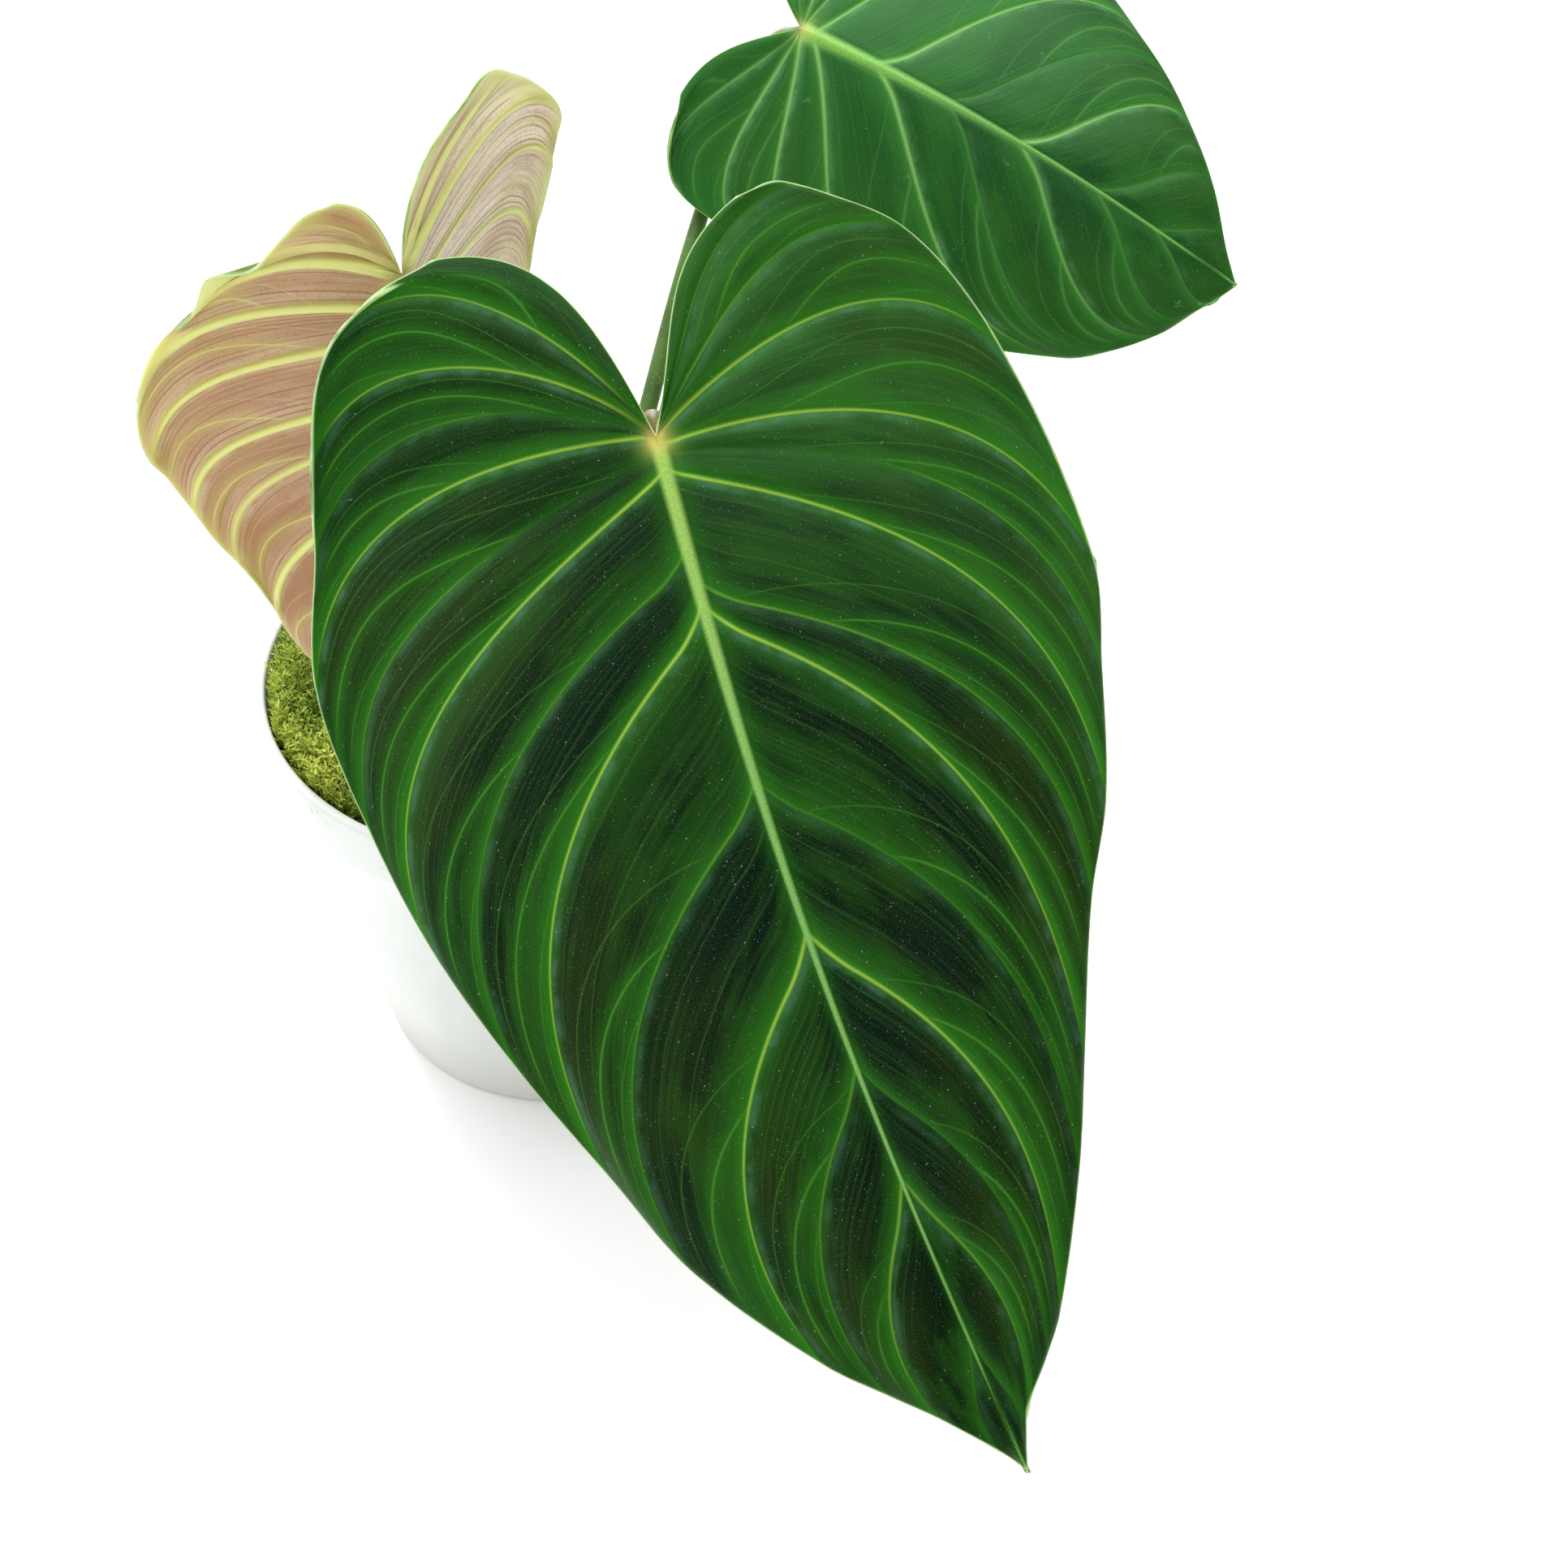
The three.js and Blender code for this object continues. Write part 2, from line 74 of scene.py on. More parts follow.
class Value:
    """A socket in a finish. Arithmetic on it adds Math nodes."""

    def __init__(self, finish, socket):
        self.finish = finish
        self.socket = socket

    def math(self, operation, *others):
        sockets = dict(enumerate((self, *others)))
        return self.finish.node("Math", {"operation": operation}, sockets)

    def __add__(self, other):
        return self.math("ADD", other)

    def __mul__(self, other):
        return self.math("MULTIPLY", other)

    def __sub__(self, other):
        return self.math("SUBTRACT", other)

    def __rsub__(self, other):
        return self.finish.node("Math", {"operation": "SUBTRACT"}, {0: other, 1: self})

    def __truediv__(self, other):
        return self.math("DIVIDE", other)

    def __pow__(self, other):
        return self.math("POWER", other)

    __radd__ = __add__
    __rmul__ = __mul__

    def size(self):
        return self.math("ABSOLUTE")

    def rounded(self):
        return self.math("ROUND")

    def whole(self):
        return self.math("FLOOR")

    def part(self):
        return self.math("FRACT")

    def wave(self):
        return self.math("SINE")

    def over(self, limit):
        return self.math("GREATER_THAN", limit)

    def least(self, other):
        return self.math("MINIMUM", other)

    def most(self, other):
        return self.math("MAXIMUM", other)

    def bell(self, width):
        """1 at zero, falling away smoothly on both sides over about this width."""
        scaled = self / width
        return (scaled * scaled * -1).math("EXPONENT")

    def rise(self, low, high):
        """0 below low and 1 above high, or the other way round where low is the larger."""
        settings = {"interpolation_type": "SMOOTHSTEP"}
        return self.finish.node("MapRange", settings, {0: self, 1: low, 2: high})

    def also(self, output):
        """Another output of the same node."""
        return Value(self.finish, self.socket.node.outputs[output])

    def xyz(self):
        parted = self.finish.node("SeparateXYZ", {}, {0: self})
        return [parted.also(axis) for axis in "XYZ"]


class Finish:
    """A material, with one method that adds any node."""

    def __init__(self, name):
        self.material = bpy.data.materials.new(name)
        self.material.use_nodes = True
        self.tree = self.material.node_tree
        self.tree.nodes.clear()

    def node(self, kind, settings=None, sockets=None, output=0):
        made = self.tree.nodes.new("ShaderNode" + kind)
        for name, value in (settings or {}).items():
            setattr(made, name, value)
        for key, value in (sockets or {}).items():
            if isinstance(value, Value):
                self.tree.links.new(value.socket, made.inputs[key])
            else:
                made.inputs[key].default_value = value
        return Value(self, made.outputs[output]) if made.outputs else made

    def uv(self, name):
        return self.node("UVMap", {"uv_map": name})

    def place(self):
        return self.node("TexCoord", output="Object")

    def attribute(self, name):
        return self.node("Attribute", {"attribute_name": name}, output="Fac")

    def stretch(self, vector, scale, turn=(0, 0, 0)):
        return self.node("Mapping", {}, {"Vector": vector, "Scale": scale, "Rotation": turn})

    def noise(self, vector, scale, detail=2.0, roughness=0.5, distortion=0.0):
        sockets = {"Vector": vector, "Scale": scale, "Detail": detail}
        sockets |= {"Roughness": roughness, "Distortion": distortion}
        return self.node("TexNoise", {}, sockets)

    def cells(self, vector, scale, output="Distance", feature="F1"):
        sockets = {"Vector": vector, "Scale": scale}
        return self.node("TexVoronoi", {"feature": feature}, sockets, output)

    def mix(self, share, below, above):
        """Two colours, with the second laid over the first by its share."""
        sockets = {0: share, 6: below, 7: above}
        return self.node("Mix", {"data_type": "RGBA"}, sockets, output=2)

    def bump(self, height, distance, strength=1.0):
        return self.node("Bump", {}, {"Height": height, "Distance": distance, "Strength": strength})

    def glaze(self, colour, roughness, normal=None, **constants):
        """The surface's main shader. Constants are the sockets that are alike all over."""
        sockets = {"Base Color": colour, "Roughness": roughness}
        if normal is not None:
            sockets["Normal"] = normal
        sockets |= {name.replace("_", " "): value for name, value in constants.items()}
        return self.node("BsdfPrincipled", {}, sockets)

    def done(self, shader):
        self.node("OutputMaterial", {}, {"Surface": shader})
        return self.material


# Mesh helpers


def to_object(bm, name, finishes):
    """The mesh as an object at the origin, shaded smooth, with its finishes in slot order."""
    mesh = bpy.data.meshes.new(name)
    for face in bm.faces:
        face.smooth = True
    bm.to_mesh(mesh)
    bm.free()
    piece = bpy.data.objects.new(name, mesh)
    bpy.context.scene.collection.objects.link(piece)
    for finish in finishes:
        mesh.materials.append(finish)
    return piece


def settle(piece, slot, *nodes):
    """The piece rides on the one body and stands for its nodes. slot is not used."""
    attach(piece, "root")
    if nodes:
        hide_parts(*nodes)


def settle_solid(bm, name, finish, slot, *nodes):
    """The same for a closed mesh, once its faces point outwards."""
    bmesh.ops.recalc_face_normals(bm, faces=bm.faces)
    settle(to_object(bm, name, [finish]), slot, *nodes)


def lerp(a, b, share):
    return a + (b - a) * share


def smooth(low, high, value):
    share = min(max((value - low) / (high - low), 0), 1)
    return share * share * (3 - 2 * share)


def bell(value, width):
    return math.exp(-((value / width) ** 2))


class Path:
    """A smooth curve through points in mm, measured along its length, with frames that don't twist."""

    SPAN_STEPS = 24

    def __init__(self, points):
        points = [Vector(p) for p in points]
        ends = [2 * points[0] - points[1], *points, 2 * points[-1] - points[-2]]
        self.places = [points[0]]
        for a, b, c, d in zip(ends, ends[1:], ends[2:], ends[3:]):
            gaps = [math.sqrt((q - p).length) for p, q in ((a, b), (b, c), (c, d))]
            start = self.slope(a, b, c, gaps[0], gaps[1]) * gaps[1]
            end = self.slope(b, c, d, gaps[1], gaps[2]) * gaps[1]
            for i in range(1, self.SPAN_STEPS + 1):
                f = i / self.SPAN_STEPS
                ease = f * f * (3 - 2 * f)
                bend = start * f * (1 - f) ** 2 - end * f * f * (1 - f)
                self.places.append(b.lerp(c, ease) + bend)
        self.walked = [0.0]
        for p, q in zip(self.places, self.places[1:]):
            self.walked.append(self.walked[-1] + (q - p).length)
        self.length = self.walked[-1]

    @staticmethod
    def slope(a, b, c, before, after):
        return (b - a) / before - (c - a) / (before + after) + (c - b) / after

    def at(self, share):
        wanted = share * self.length
        i = 0
        while i < len(self.walked) - 2 and self.walked[i + 1] < wanted:
            i += 1
        step = self.walked[i + 1] - self.walked[i]
        return self.places[i].lerp(self.places[i + 1], (wanted - self.walked[i]) / step)

    def frames(self, shares):
        """Place, side and other side at each share of the length."""
        places = [self.at(share) for share in shares]
        tangents = []
        for i in range(len(places)):
            before, after = places[max(i - 1, 0)], places[min(i + 1, len(places) - 1)]
            tangents.append((after - before).normalized())
        side = tangents[0].orthogonal().normalized()
        rings = []
        for place, tangent in zip(places, tangents):
            side = (side - tangent * side.dot(tangent)).normalized()
            rings.append((place, side, tangent.cross(side)))
        return rings


def add_tube(bm, path, radius_at, sides, steps, shape=None):
    """A tube along a path in mm. radius_at takes the share of the way; shape, the share and the angle.
    Its UV runs along, in tenths of a metre, and around."""
    uv = bm.loops.layers.uv.verify()
    before = set(bm.verts)
    bmesh.ops.create_grid(bm, x_segments=steps, y_segments=sides, size=0.5)
    verts = [v for v in bm.verts if v not in before]
    shares = [i / steps for i in range(steps + 1)]
    rings = path.frames(shares)
    spots = {v: (round((v.co.x + 0.5) * steps), v.co.y + 0.5) for v in verts}
    for face in {f for v in verts for f in v.link_faces}:
        for loop in face.loops:
            step, around = spots[loop.vert]
            loop[uv].uv = (shares[step] * path.length / 100, around)
    for v, (step, around) in spots.items():
        share = shares[step]
        angle = 2 * math.pi * around
        place, side, other = rings[step]
        radius = radius_at(share) * (shape(share, angle) if shape else 1)
        v.co = (place + (side * math.cos(angle) + other * math.sin(angle)) * radius) * MM
    bmesh.ops.remove_doubles(bm, verts=verts, dist=0.004 * MM)


def closed_taper(share):
    """Rounds both ends of a tube off to a point, which closes it."""
    return max(0.0, 1 - abs(2 * share - 1) ** 24) ** 0.5


# Leaves

VEIN_HANDLE = 0.41
RUN_DOWN = 2.4
RUN_DOWN_LENGTH = 6
CURL_REACH = 50
FINE_VEINS = 11
CUSHION_POWER = 0.7
CUSHION_FADE = 0.12
CUSHION_SOFTNESS = 0.6


def between(rows, columns, phase, by_distance):
    """Reads a table between its rows. By distance, the slopes allow for uneven spacing."""
    last = len(rows) - 1
    i = min(int(phase), last - 1)
    f = phase - i
    neighbours = (max(i - 1, 0), i, i + 1, min(i + 2, last))
    near = [[rows[k][c] for c in columns] for k in neighbours]
    tiny = 1e-9
    spans = [math.dist(a, b) + tiny if by_distance else 1 for a, b in zip(near, near[1:])]
    before, here, after = spans
    values = []
    for a, b, c, d in zip(*near):
        start = (c - a) * here / (before + here)
        end = (d - b) * here / (here + after)
        ease = f * f * (3 - 2 * f)
        values.append(lerp(b, c, ease) + start * f * (1 - f) ** 2 - end * f * f * (1 - f))
    return values


class Leaf:
    """A heart-shaped blade. Each half is a fan of side veins, listed from the notch to the tip:
    (place on the midrib, leaving angle, reach sideways, reach tipwards, arriving angle, fold),
    in mm and degrees. bold says how strongly each side vein shows, and bold_from, where along it
    that begins. Each ripple of the edge is (side, vein number, width in veins, growth outwards,
    rise), in mm."""

    def __init__(
        self, notch, tip, faces, bow, arch, curl, quilt, wave, waves, right, left, bold, ripples=(),
        bold_from=None,
    ):
        self.notch = Vector(notch)
        self.tipward = Vector(tip) - self.notch
        self.length = self.tipward.length
        self.tipward.normalize()
        self.up = Vector(faces)
        self.up = (self.up - self.tipward * self.up.dot(self.tipward)).normalized()
        self.sideways = self.up.cross(self.tipward)
        self.bow, self.arch, self.curl = bow, arch, curl
        self.quilt, self.wave, self.waves = quilt, wave, waves
        self.last = len(right)
        end = (self.length, 0, 0, self.length, 0, 0)
        self.rows = {1: [*right, end], -1: [*left, end]}
        self.bold = {1: bold[0], -1: bold[1]}
        self.bold_from = bold_from or {}
        self.ripples = ripples

    def bow_at(self, v):
        return self.bow * math.sin(math.pi * min(max(v / self.length, 0), 1))

    @lru_cache(maxsize=None)
    def vein(self, side, phase):
        """The side vein's four guide points in the flat blade, and its fold in degrees."""
        rows = self.rows[side]
        i = min(int(phase), self.last - 1)
        station = lerp(rows[i][0], rows[i + 1][0], phase - i)
        reach, forward = between(rows, (2, 3), phase, True)
        leaving, arriving, fold = between(rows, (1, 4, 5), phase, False)
        start = Vector((side * self.bow_at(station), station))
        end = Vector((reach, forward))
        handle = (end - start).length * VEIN_HANDLE
        leaving, arriving = math.radians(leaving), math.radians(arriving)
        first = start + Vector((math.sin(leaving), math.cos(leaving))) * handle
        second = end - Vector((math.sin(arriving), math.cos(arriving))) * handle
        return start, first, second, end, fold

    def flat(self, side, phase, along):
        """A place in the flat blade: sideways from the leaf's straight middle line, and tipwards."""
        a, b, c, d, _ = self.vein(side, phase)
        back = 1 - along
        place = a * back**3 + b * (3 * along * back**2) + c * (3 * along**2 * back) + d * along**3
        length = (d - a).length
        left = max(1 - along * length / RUN_DOWN_LENGTH, 0)
        place.y -= RUN_DOWN * left * left * smooth(2, 20, a.y) * smooth(2, 15, length)
        return place

    def boldness(self, side, phase, along):
        """How strongly the veins near this place show."""
        i = min(int(phase), self.last - 1)
        ends = []
        for k in (i, i + 1):
            strength = self.bold[side][k]
            start = self.bold_from.get((side, k))
            ends.append(strength * smooth(start - 0.1, start + 0.15, along) if start else strength)
        return lerp(*ends, smooth(0.3, 0.7, phase - i))

    def measures(self, side, phase, along):
        """The spacing of veins here in mm, and the distance to the blade's edge in mm."""
        step = 0.002
        ahead = step if phase + step <= self.last else -step
        inward = step if along + step <= 1 else -step
        here = self.flat(side, phase, along)
        across = (self.flat(side, phase + ahead, along) - here) / ahead
        outward = (self.flat(side, phase, along + inward) - here) / inward
        area = abs(across.x * outward.y - across.y * outward.x)
        spacing = area / max(outward.length, 0.01)
        edge = (1 - along) * area / max(across.length, 0.01)
        return spacing, min(edge, phase * spacing)

    def ripple(self, side, phase):
        """How far the edge grows outwards here, and how far it rises."""
        outward, rise = 0, 0
        for at_side, number, width, growth, lift in self.ripples:
            share = bell(phase - number, width) if at_side == side else 0
            outward += growth * share
            rise += lift * share
        return outward, rise

    @lru_cache(maxsize=None)
    def outwards(self, side, phase):
        """The direction out of the blade at the end of this side vein, in the flat blade."""
        step = 0.02
        behind, ahead = max(phase - step, 0), min(phase + step, self.last)
        run = self.flat(side, ahead, 1) - self.flat(side, behind, 1)
        return Vector((run.y, -run.x)).normalized()

    def place(self, side, phase, along, relief=0.0):
        outward, rise = self.ripple(side, phase)
        flat = self.flat(side, phase, along) + self.outwards(side, phase) * (outward * along**6)
        relief += rise * along**4
        fold = self.vein(side, phase)[4]
        bow = self.bow_at(flat.y)
        out = flat.x - side * bow
        lift = math.radians(fold + self.curl * out / CURL_REACH)
        from_middle = flat.y / (self.length / 2) - 1
        ripple = math.sin(2 * math.pi * self.waves * phase / self.last + side)
        height = out * math.sin(lift) + self.arch * (1 - from_middle**2)
        height += self.wave * ripple * along**3 + relief
        sideways = bow + side * out * math.cos(lift)
        return self.notch + self.sideways * sideways + self.tipward * flat.y + self.up * height


FRONT_LEAF = Leaf(
    notch=(35, -87, 225),
    tip=(91, -205.5, 123),
    faces=(0, -1, 1),
    bow=-3.9,
    arch=6,
    curl=-6,
    quilt=0.9,
    wave=0.7,
    waves=5,
    right=[
        (0, 149, 24.5, -32, 110, 8),
        (0, 142, 33, -32, 100, 6),
        (0, 133, 47.5, -20.5, 64, 2),
        (0, 120, 57, 3, 24, -4),
        (1.5, 92, 61, 39.5, 6, -8),
        (3, 78, 56, 56, -4, -9),
        (6, 63, 48.5, 75.5, -10, -9),
        (26, 62, 40, 89.5, -13, -8),
        (30, 52, 30, 111, -10, -7),
        (58, 52, 22.5, 127, -12, -4),
        (82, 45, 12.5, 145.5, -16, 0),
        (103, 42, 8.5, 150.5, -14, 3),
        (121, 32, 3.5, 156.5, -16, 6),
        (146, 20, 1.5, 161.5, -8, 8),
    ],
    left=[
        (0, 172, 24, -39.5, 98, 9),
        (0, 161, 43, -32, 52, 5),
        (0, 150, 53, -15.5, 32, 0),
        (0, 130, 59, -3.5, 36, -5),
        (0, 107, 67.5, 17, 20, -8),
        (3, 84, 66.5, 42.5, 2, -9),
        (6, 70, 62.5, 62.5, -7, -9),
        (21, 73, 54, 85.5, -12, -8),
        (30, 61, 45.5, 105, -12, -7),
        (58, 58, 38, 121, -14, -4),
        (82, 50, 23, 141, -22, 0),
        (103, 46, 15.5, 148.5, -24, 3),
        (121, 36, 9.5, 154, -24, 6),
        (146, 22, 3, 161.5, -15, 8),
    ],
    bold=[
        [0, 0.5, 0.55, 1, 1, 0.6, 1, 0.55, 1, 0.35, 0.9, 0.3, 0.6, 0.3, 0],
        [0, 0.75, 0.9, 0.5, 1, 0.55, 1, 0.45, 0.95, 0.5, 0.9, 0.5, 0.7, 0.3, 0],
    ],
    bold_from={(1, 5): 0.38, (-1, 3): 0.3, (-1, 5): 0.3},
    ripples=[(-1, 0.45, 0.3, 1.1, 0), (-1, 1.6, 0.5, 0.6, 0), (1, 1.5, 0.4, -0.7, 0)],
)

RIGHT_LEAF = Leaf(
    notch=(58, 68, 212.5),
    tip=(145, 22, 181),
    faces=(0, -1, 1),
    bow=1.2,
    arch=5,
    curl=-8,
    quilt=0.6,
    wave=0.5,
    waves=4,
    right=[
        (0, 150, 21.5, -16.5, 98, 0),
        (0, 124, 40, -10.5, 60, -4),
        (0, 100, 49.5, 7, 20, -8),
        (0, 80, 50.5, 25.5, 4, -10),
        (3, 66, 44.5, 45.5, -16, -11),
        (20, 60, 36.5, 59.5, -24, -10),
        (37, 56, 29.5, 71, -28, -8),
        (54, 56, 22.5, 80, -34, -6),
        (72, 46, 13.5, 90, -38, -2),
        (86, 40, 5.5, 97.5, -44, 2),
    ],
    left=[
        (0, 138, 23, -15.5, 92, 0),
        (0, 106, 39.5, -7.5, 40, -6),
        (0, 86, 43, 11.5, 18, -9),
        (0, 62, 45, 31, 2, -10),
        (3, 44, 42, 52, -10, -10),
        (20, 40, 30, 81.5, -20, -9),
        (37, 42, 24, 89, -32, -7),
        (54, 40, 16, 95.5, -40, -4),
        (72, 40, 9.5, 99, -55, 0),
        (86, 36, 4.5, 101.5, -62, 3),
    ],
    bold=[
        [0, 0.6, 0.8, 0.7, 0.9, 1, 0.25, 1, 0.3, 0.3, 0],
        [0, 0.7, 1, 1, 0.9, 0.9, 0.3, 0.75, 0.3, 0.3, 0],
    ],
)

# The youngest leaf hangs almost upright with its underside forward and is still half folded.
LEFT_LEAF = Leaf(
    notch=(-7, -54, 232.5),
    tip=(-8.5, -37, 115),
    faces=(0, 1, 0),
    bow=0,
    arch=-3,
    curl=0,
    quilt=0.9,
    wave=1.1,
    waves=5,
    right=[
        (0, 166, 9.5, -12.4, 78, 0),
        (0, 140, 22, -3.5, 72, 0),
        (0, 110, 34.5, 7, 46, 0),
        (6, 90, 48, 27, 24, 2),
        (11, 70, 49.5, 44, 12, 4),
        (22, 60, 44.5, 59, 4, 6),
        (29, 54, 39.5, 71, 0, 8),
        (40, 46, 31.5, 97.5, -20, 8),
        (62, 48, 23, 105, -45, 6),
        (84, 42, 12, 111.5, -50, 4),
        (102, 34, 3.5, 116, -50, 2),
    ],
    left=[
        (0, 176, 17.5, -18.5, 98, 60),
        (0, 152, 31, -16, 85, 60),
        (0, 128, 45.5, -4, 40, 59),
        (5, 106, 48, 13, 18, 65),
        (8, 84, 49, 32, 4, 71),
        (18, 70, 46, 52, -10, 75),
        (26, 60, 40, 68, -18, 76),
        (40, 50, 30.5, 92, -25, 70),
        (62, 48, 22, 103, -40, 62),
        (84, 42, 12, 111, -45, 55),
        (102, 34, 3.5, 116, -50, 50),
    ],
    bold=[
        [0, 0.7, 1, 1, 1, 1, 0.8, 1, 0.7, 0.7, 0.4, 0],
        [0, 0.8, 1, 0.9, 1, 1, 0.8, 1, 0.7, 0.7, 0.4, 0],
    ],
    ripples=[
        (1, 0.4, 0.3, 0.8, 0.5), (1, 1.1, 0.2, -0.3, -0.5), (1, 1.62, 0.25, 2.2, 0.8),
        (1, 2.15, 0.18, -0.3, -0.5), (1, 2.6, 0.2, 0.4, 0.7), (1, 3.05, 0.18, -0.2, -0.6),
        (1, 3.45, 0.2, 0.0, 0.7), (1, 3.9, 0.18, -0.2, -0.6), (1, 4.4, 0.2, 0.0, 0.6),
        (1, 5.3, 0.25, 0.4, 0.6), (1, 6.2, 0.3, -0.4, -0.6), (1, 7.1, 0.35, 0.5, 0.6),
        (-1, 0.6, 0.45, 2.2, 0.3), (-1, 1.3, 0.3, 0.7, -0.4),
        (-1, 2.4, 0.25, -0.6, -0.8), (-1, 3.0, 0.25, 0.8, 1.0), (-1, 3.6, 0.25, -0.6, -0.8),
        (-1, 4.3, 0.3, 0.7, 0.8), (-1, 5.2, 0.4, -0.6, -0.8),
    ],
)

BLADE_DEPTH = 3.0
MARGIN_DEPTH = 0.45
INNER_DEPTH = 0.75
ROW_CROWDING = 0.75
COLUMN_POWER = 1.5
FORK_FROM = 0.3
FORK_SWAY = 0.1
BRANCH_RUN = 0.28
BRANCH_RUN_GAIN = 0.05
RIB_AT_TIP = 0.18
RIB_GAIN = 1.15
RIB_POWER = 1.8
RIB_LEAF_LENGTH = 166
GROOVE_DEPTH = 0.22
GROOVE_WIDTH = 0.5
BRANCH_GROOVE_DEPTH = 0.1
BRANCH_GROOVE_WIDTH = 0.45
MIDRIB_RISE = 0.3
MIDRIB_DIP = 0.28
UNDER_RIB_DEPTH = 1.5
SIDE_RIB_DEPTH = 0.45
SIDE_RIB_WIDTH = 0.6


def fork_start(number, side):
    """Where along a side vein its first branch leaves it."""
    return FORK_FROM + FORK_SWAY * math.sin(2.3 * number + 1.7 * side)


def branch_path(gone, number):
    """How far a branch has moved from its side vein towards the next, from 0 to a half."""
    left = 1 - min(max(gone / (BRANCH_RUN + BRANCH_RUN_GAIN * number), 0), 1)
    return 0.5 * (1 - left * left)


def blade_relief(leaf, side, phase, along, spacing, edge, bold):
    """Height of the quilting and of the sunken veins, in mm, before the fold."""
    soft = math.pi * CUSHION_SOFTNESS / max(spacing, 1)
    hill = math.hypot(math.sin(math.pi * phase), soft) - soft
    cushion = (hill / (math.hypot(1, soft) - soft)) ** CUSHION_POWER
    firm = 0.45 + 0.55 * bold
    cushion = 1 - (1 - cushion) * firm
    fade = min(1, along / CUSHION_FADE) * (1 - along**4)
    aside = abs(phase - round(phase)) * spacing
    sunk = bold * smooth(0, 4, edge)
    groove = GROOVE_DEPTH * sunk * bell(aside, GROOVE_WIDTH) * smooth(0, 0.06, along)
    number = int(phase) + 1
    fork = fork_start(number, side)
    branch = abs(number - phase - branch_path(along - fork, number)) * spacing
    branch_groove = BRANCH_GROOVE_DEPTH * sunk * bell(branch, BRANCH_GROOVE_WIDTH)
    branch_groove *= smooth(fork, fork + 0.2, along)
    flat = leaf.flat(side, phase, along)
    out = abs(flat.x - side * leaf.bow_at(flat.y))
    rib = midrib_width(leaf, flat.y)
    on_rib = smooth(-2, 1, flat.y) * smooth(leaf.last, leaf.last - 3, phase)
    ridge = on_rib * (MIDRIB_RISE * bell(out, rib) - MIDRIB_DIP * bell(out - 1.9 * rib, 0.55 * rib))
    return leaf.quilt * cushion * fade - groove - branch_groove + ridge


def midrib_width(leaf, tipwards):
    """Half the midrib's width in mm, in step with the leaf's length."""
    left = min(max(1 - tipwards / leaf.length, 0), 1)
    return (RIB_AT_TIP + RIB_GAIN * left**RIB_POWER) * leaf.length / RIB_LEAF_LENGTH


def blade_piece(name, leaf, rows_per_vein, columns, finishes):
    """One blade as a single sheet of rows of places, given its thickness by a modifier."""
    rows = leaf.last * rows_per_vein
    bm = bmesh.new()
    veins = bm.loops.layers.uv.new("veins")
    laid_flat = bm.loops.layers.uv.new("flat")
    layers = {key: bm.verts.layers.float.new(key) for key in ("spacing", "edge", "bold")}
    depth_layer = bm.verts.layers.deform.new("depth")
    bmesh.ops.create_grid(bm, x_segments=rows, y_segments=columns, size=0.5)
    spots = {}
    for v in bm.verts:
        row = round((v.co.x + 0.5) * rows)
        share = row % rows_per_vein / rows_per_vein
        eased = share - ROW_CROWDING * math.sin(2 * math.pi * share) / (2 * math.pi)
        phase = row // rows_per_vein + eased
        across = round(2 * v.co.y * columns) / columns
        side = -1 if across < 0 else 1
        spots[v] = (side, phase, abs(across) ** COLUMN_POWER)
    for face in bm.faces:
        lean = sum(loop.vert.co.y for loop in face.loops)
        side = 1 if lean > 0 else -1
        for loop in face.loops:
            _, phase, along = spots[loop.vert]
            flat = leaf.flat(side, phase, along)
            loop[veins].uv = (phase / leaf.last, 0.5 + 0.5 * side * along)
            loop[laid_flat].uv = (side * flat.x / 100, flat.y / 100)
    for v, (side, phase, along) in spots.items():
        spacing, edge = leaf.measures(side, phase, along)
        bold = leaf.boldness(side, phase, along)
        relief = blade_relief(leaf, side, phase, along, spacing, edge, bold)
        flat = leaf.flat(side, phase, along)
        out = abs(flat.x - side * leaf.bow_at(flat.y))
        rib = UNDER_RIB_DEPTH * bell(out, 1.5 * midrib_width(leaf, flat.y)) * (1 - phase / leaf.last)
        rib *= smooth(0.5, 6, flat.y)
        aside = abs(phase - round(phase)) * spacing
        side_rib = SIDE_RIB_DEPTH * bold * bell(aside, SIDE_RIB_WIDTH) * (1 - along) ** 0.5
        depth = lerp(MARGIN_DEPTH, INNER_DEPTH, smooth(0, 6, edge)) + rib + side_rib
        depth *= 0.25 + 0.75 * smooth(0, 3, flat.length)
        v[layers["spacing"]] = spacing
        v[layers["edge"]] = edge
        v[layers["bold"]] = bold
        v[depth_layer][0] = min(depth / BLADE_DEPTH, 1)
        v.co = leaf.place(side, phase, along, relief) * MM
    bmesh.ops.remove_doubles(bm, verts=bm.verts, dist=0.01 * MM)
    piece = to_object(bm, name, finishes)
    piece.vertex_groups.new(name="depth")
    solid = piece.modifiers.new("thickness", "SOLIDIFY")
    solid.thickness = BLADE_DEPTH * MM
    solid.offset = -1
    solid.vertex_group = "depth"
    solid.thickness_vertex_group = 0
    solid.material_offset = 1
    solid.material_offset_rim = 2
    return piece


# Finishes of the blades


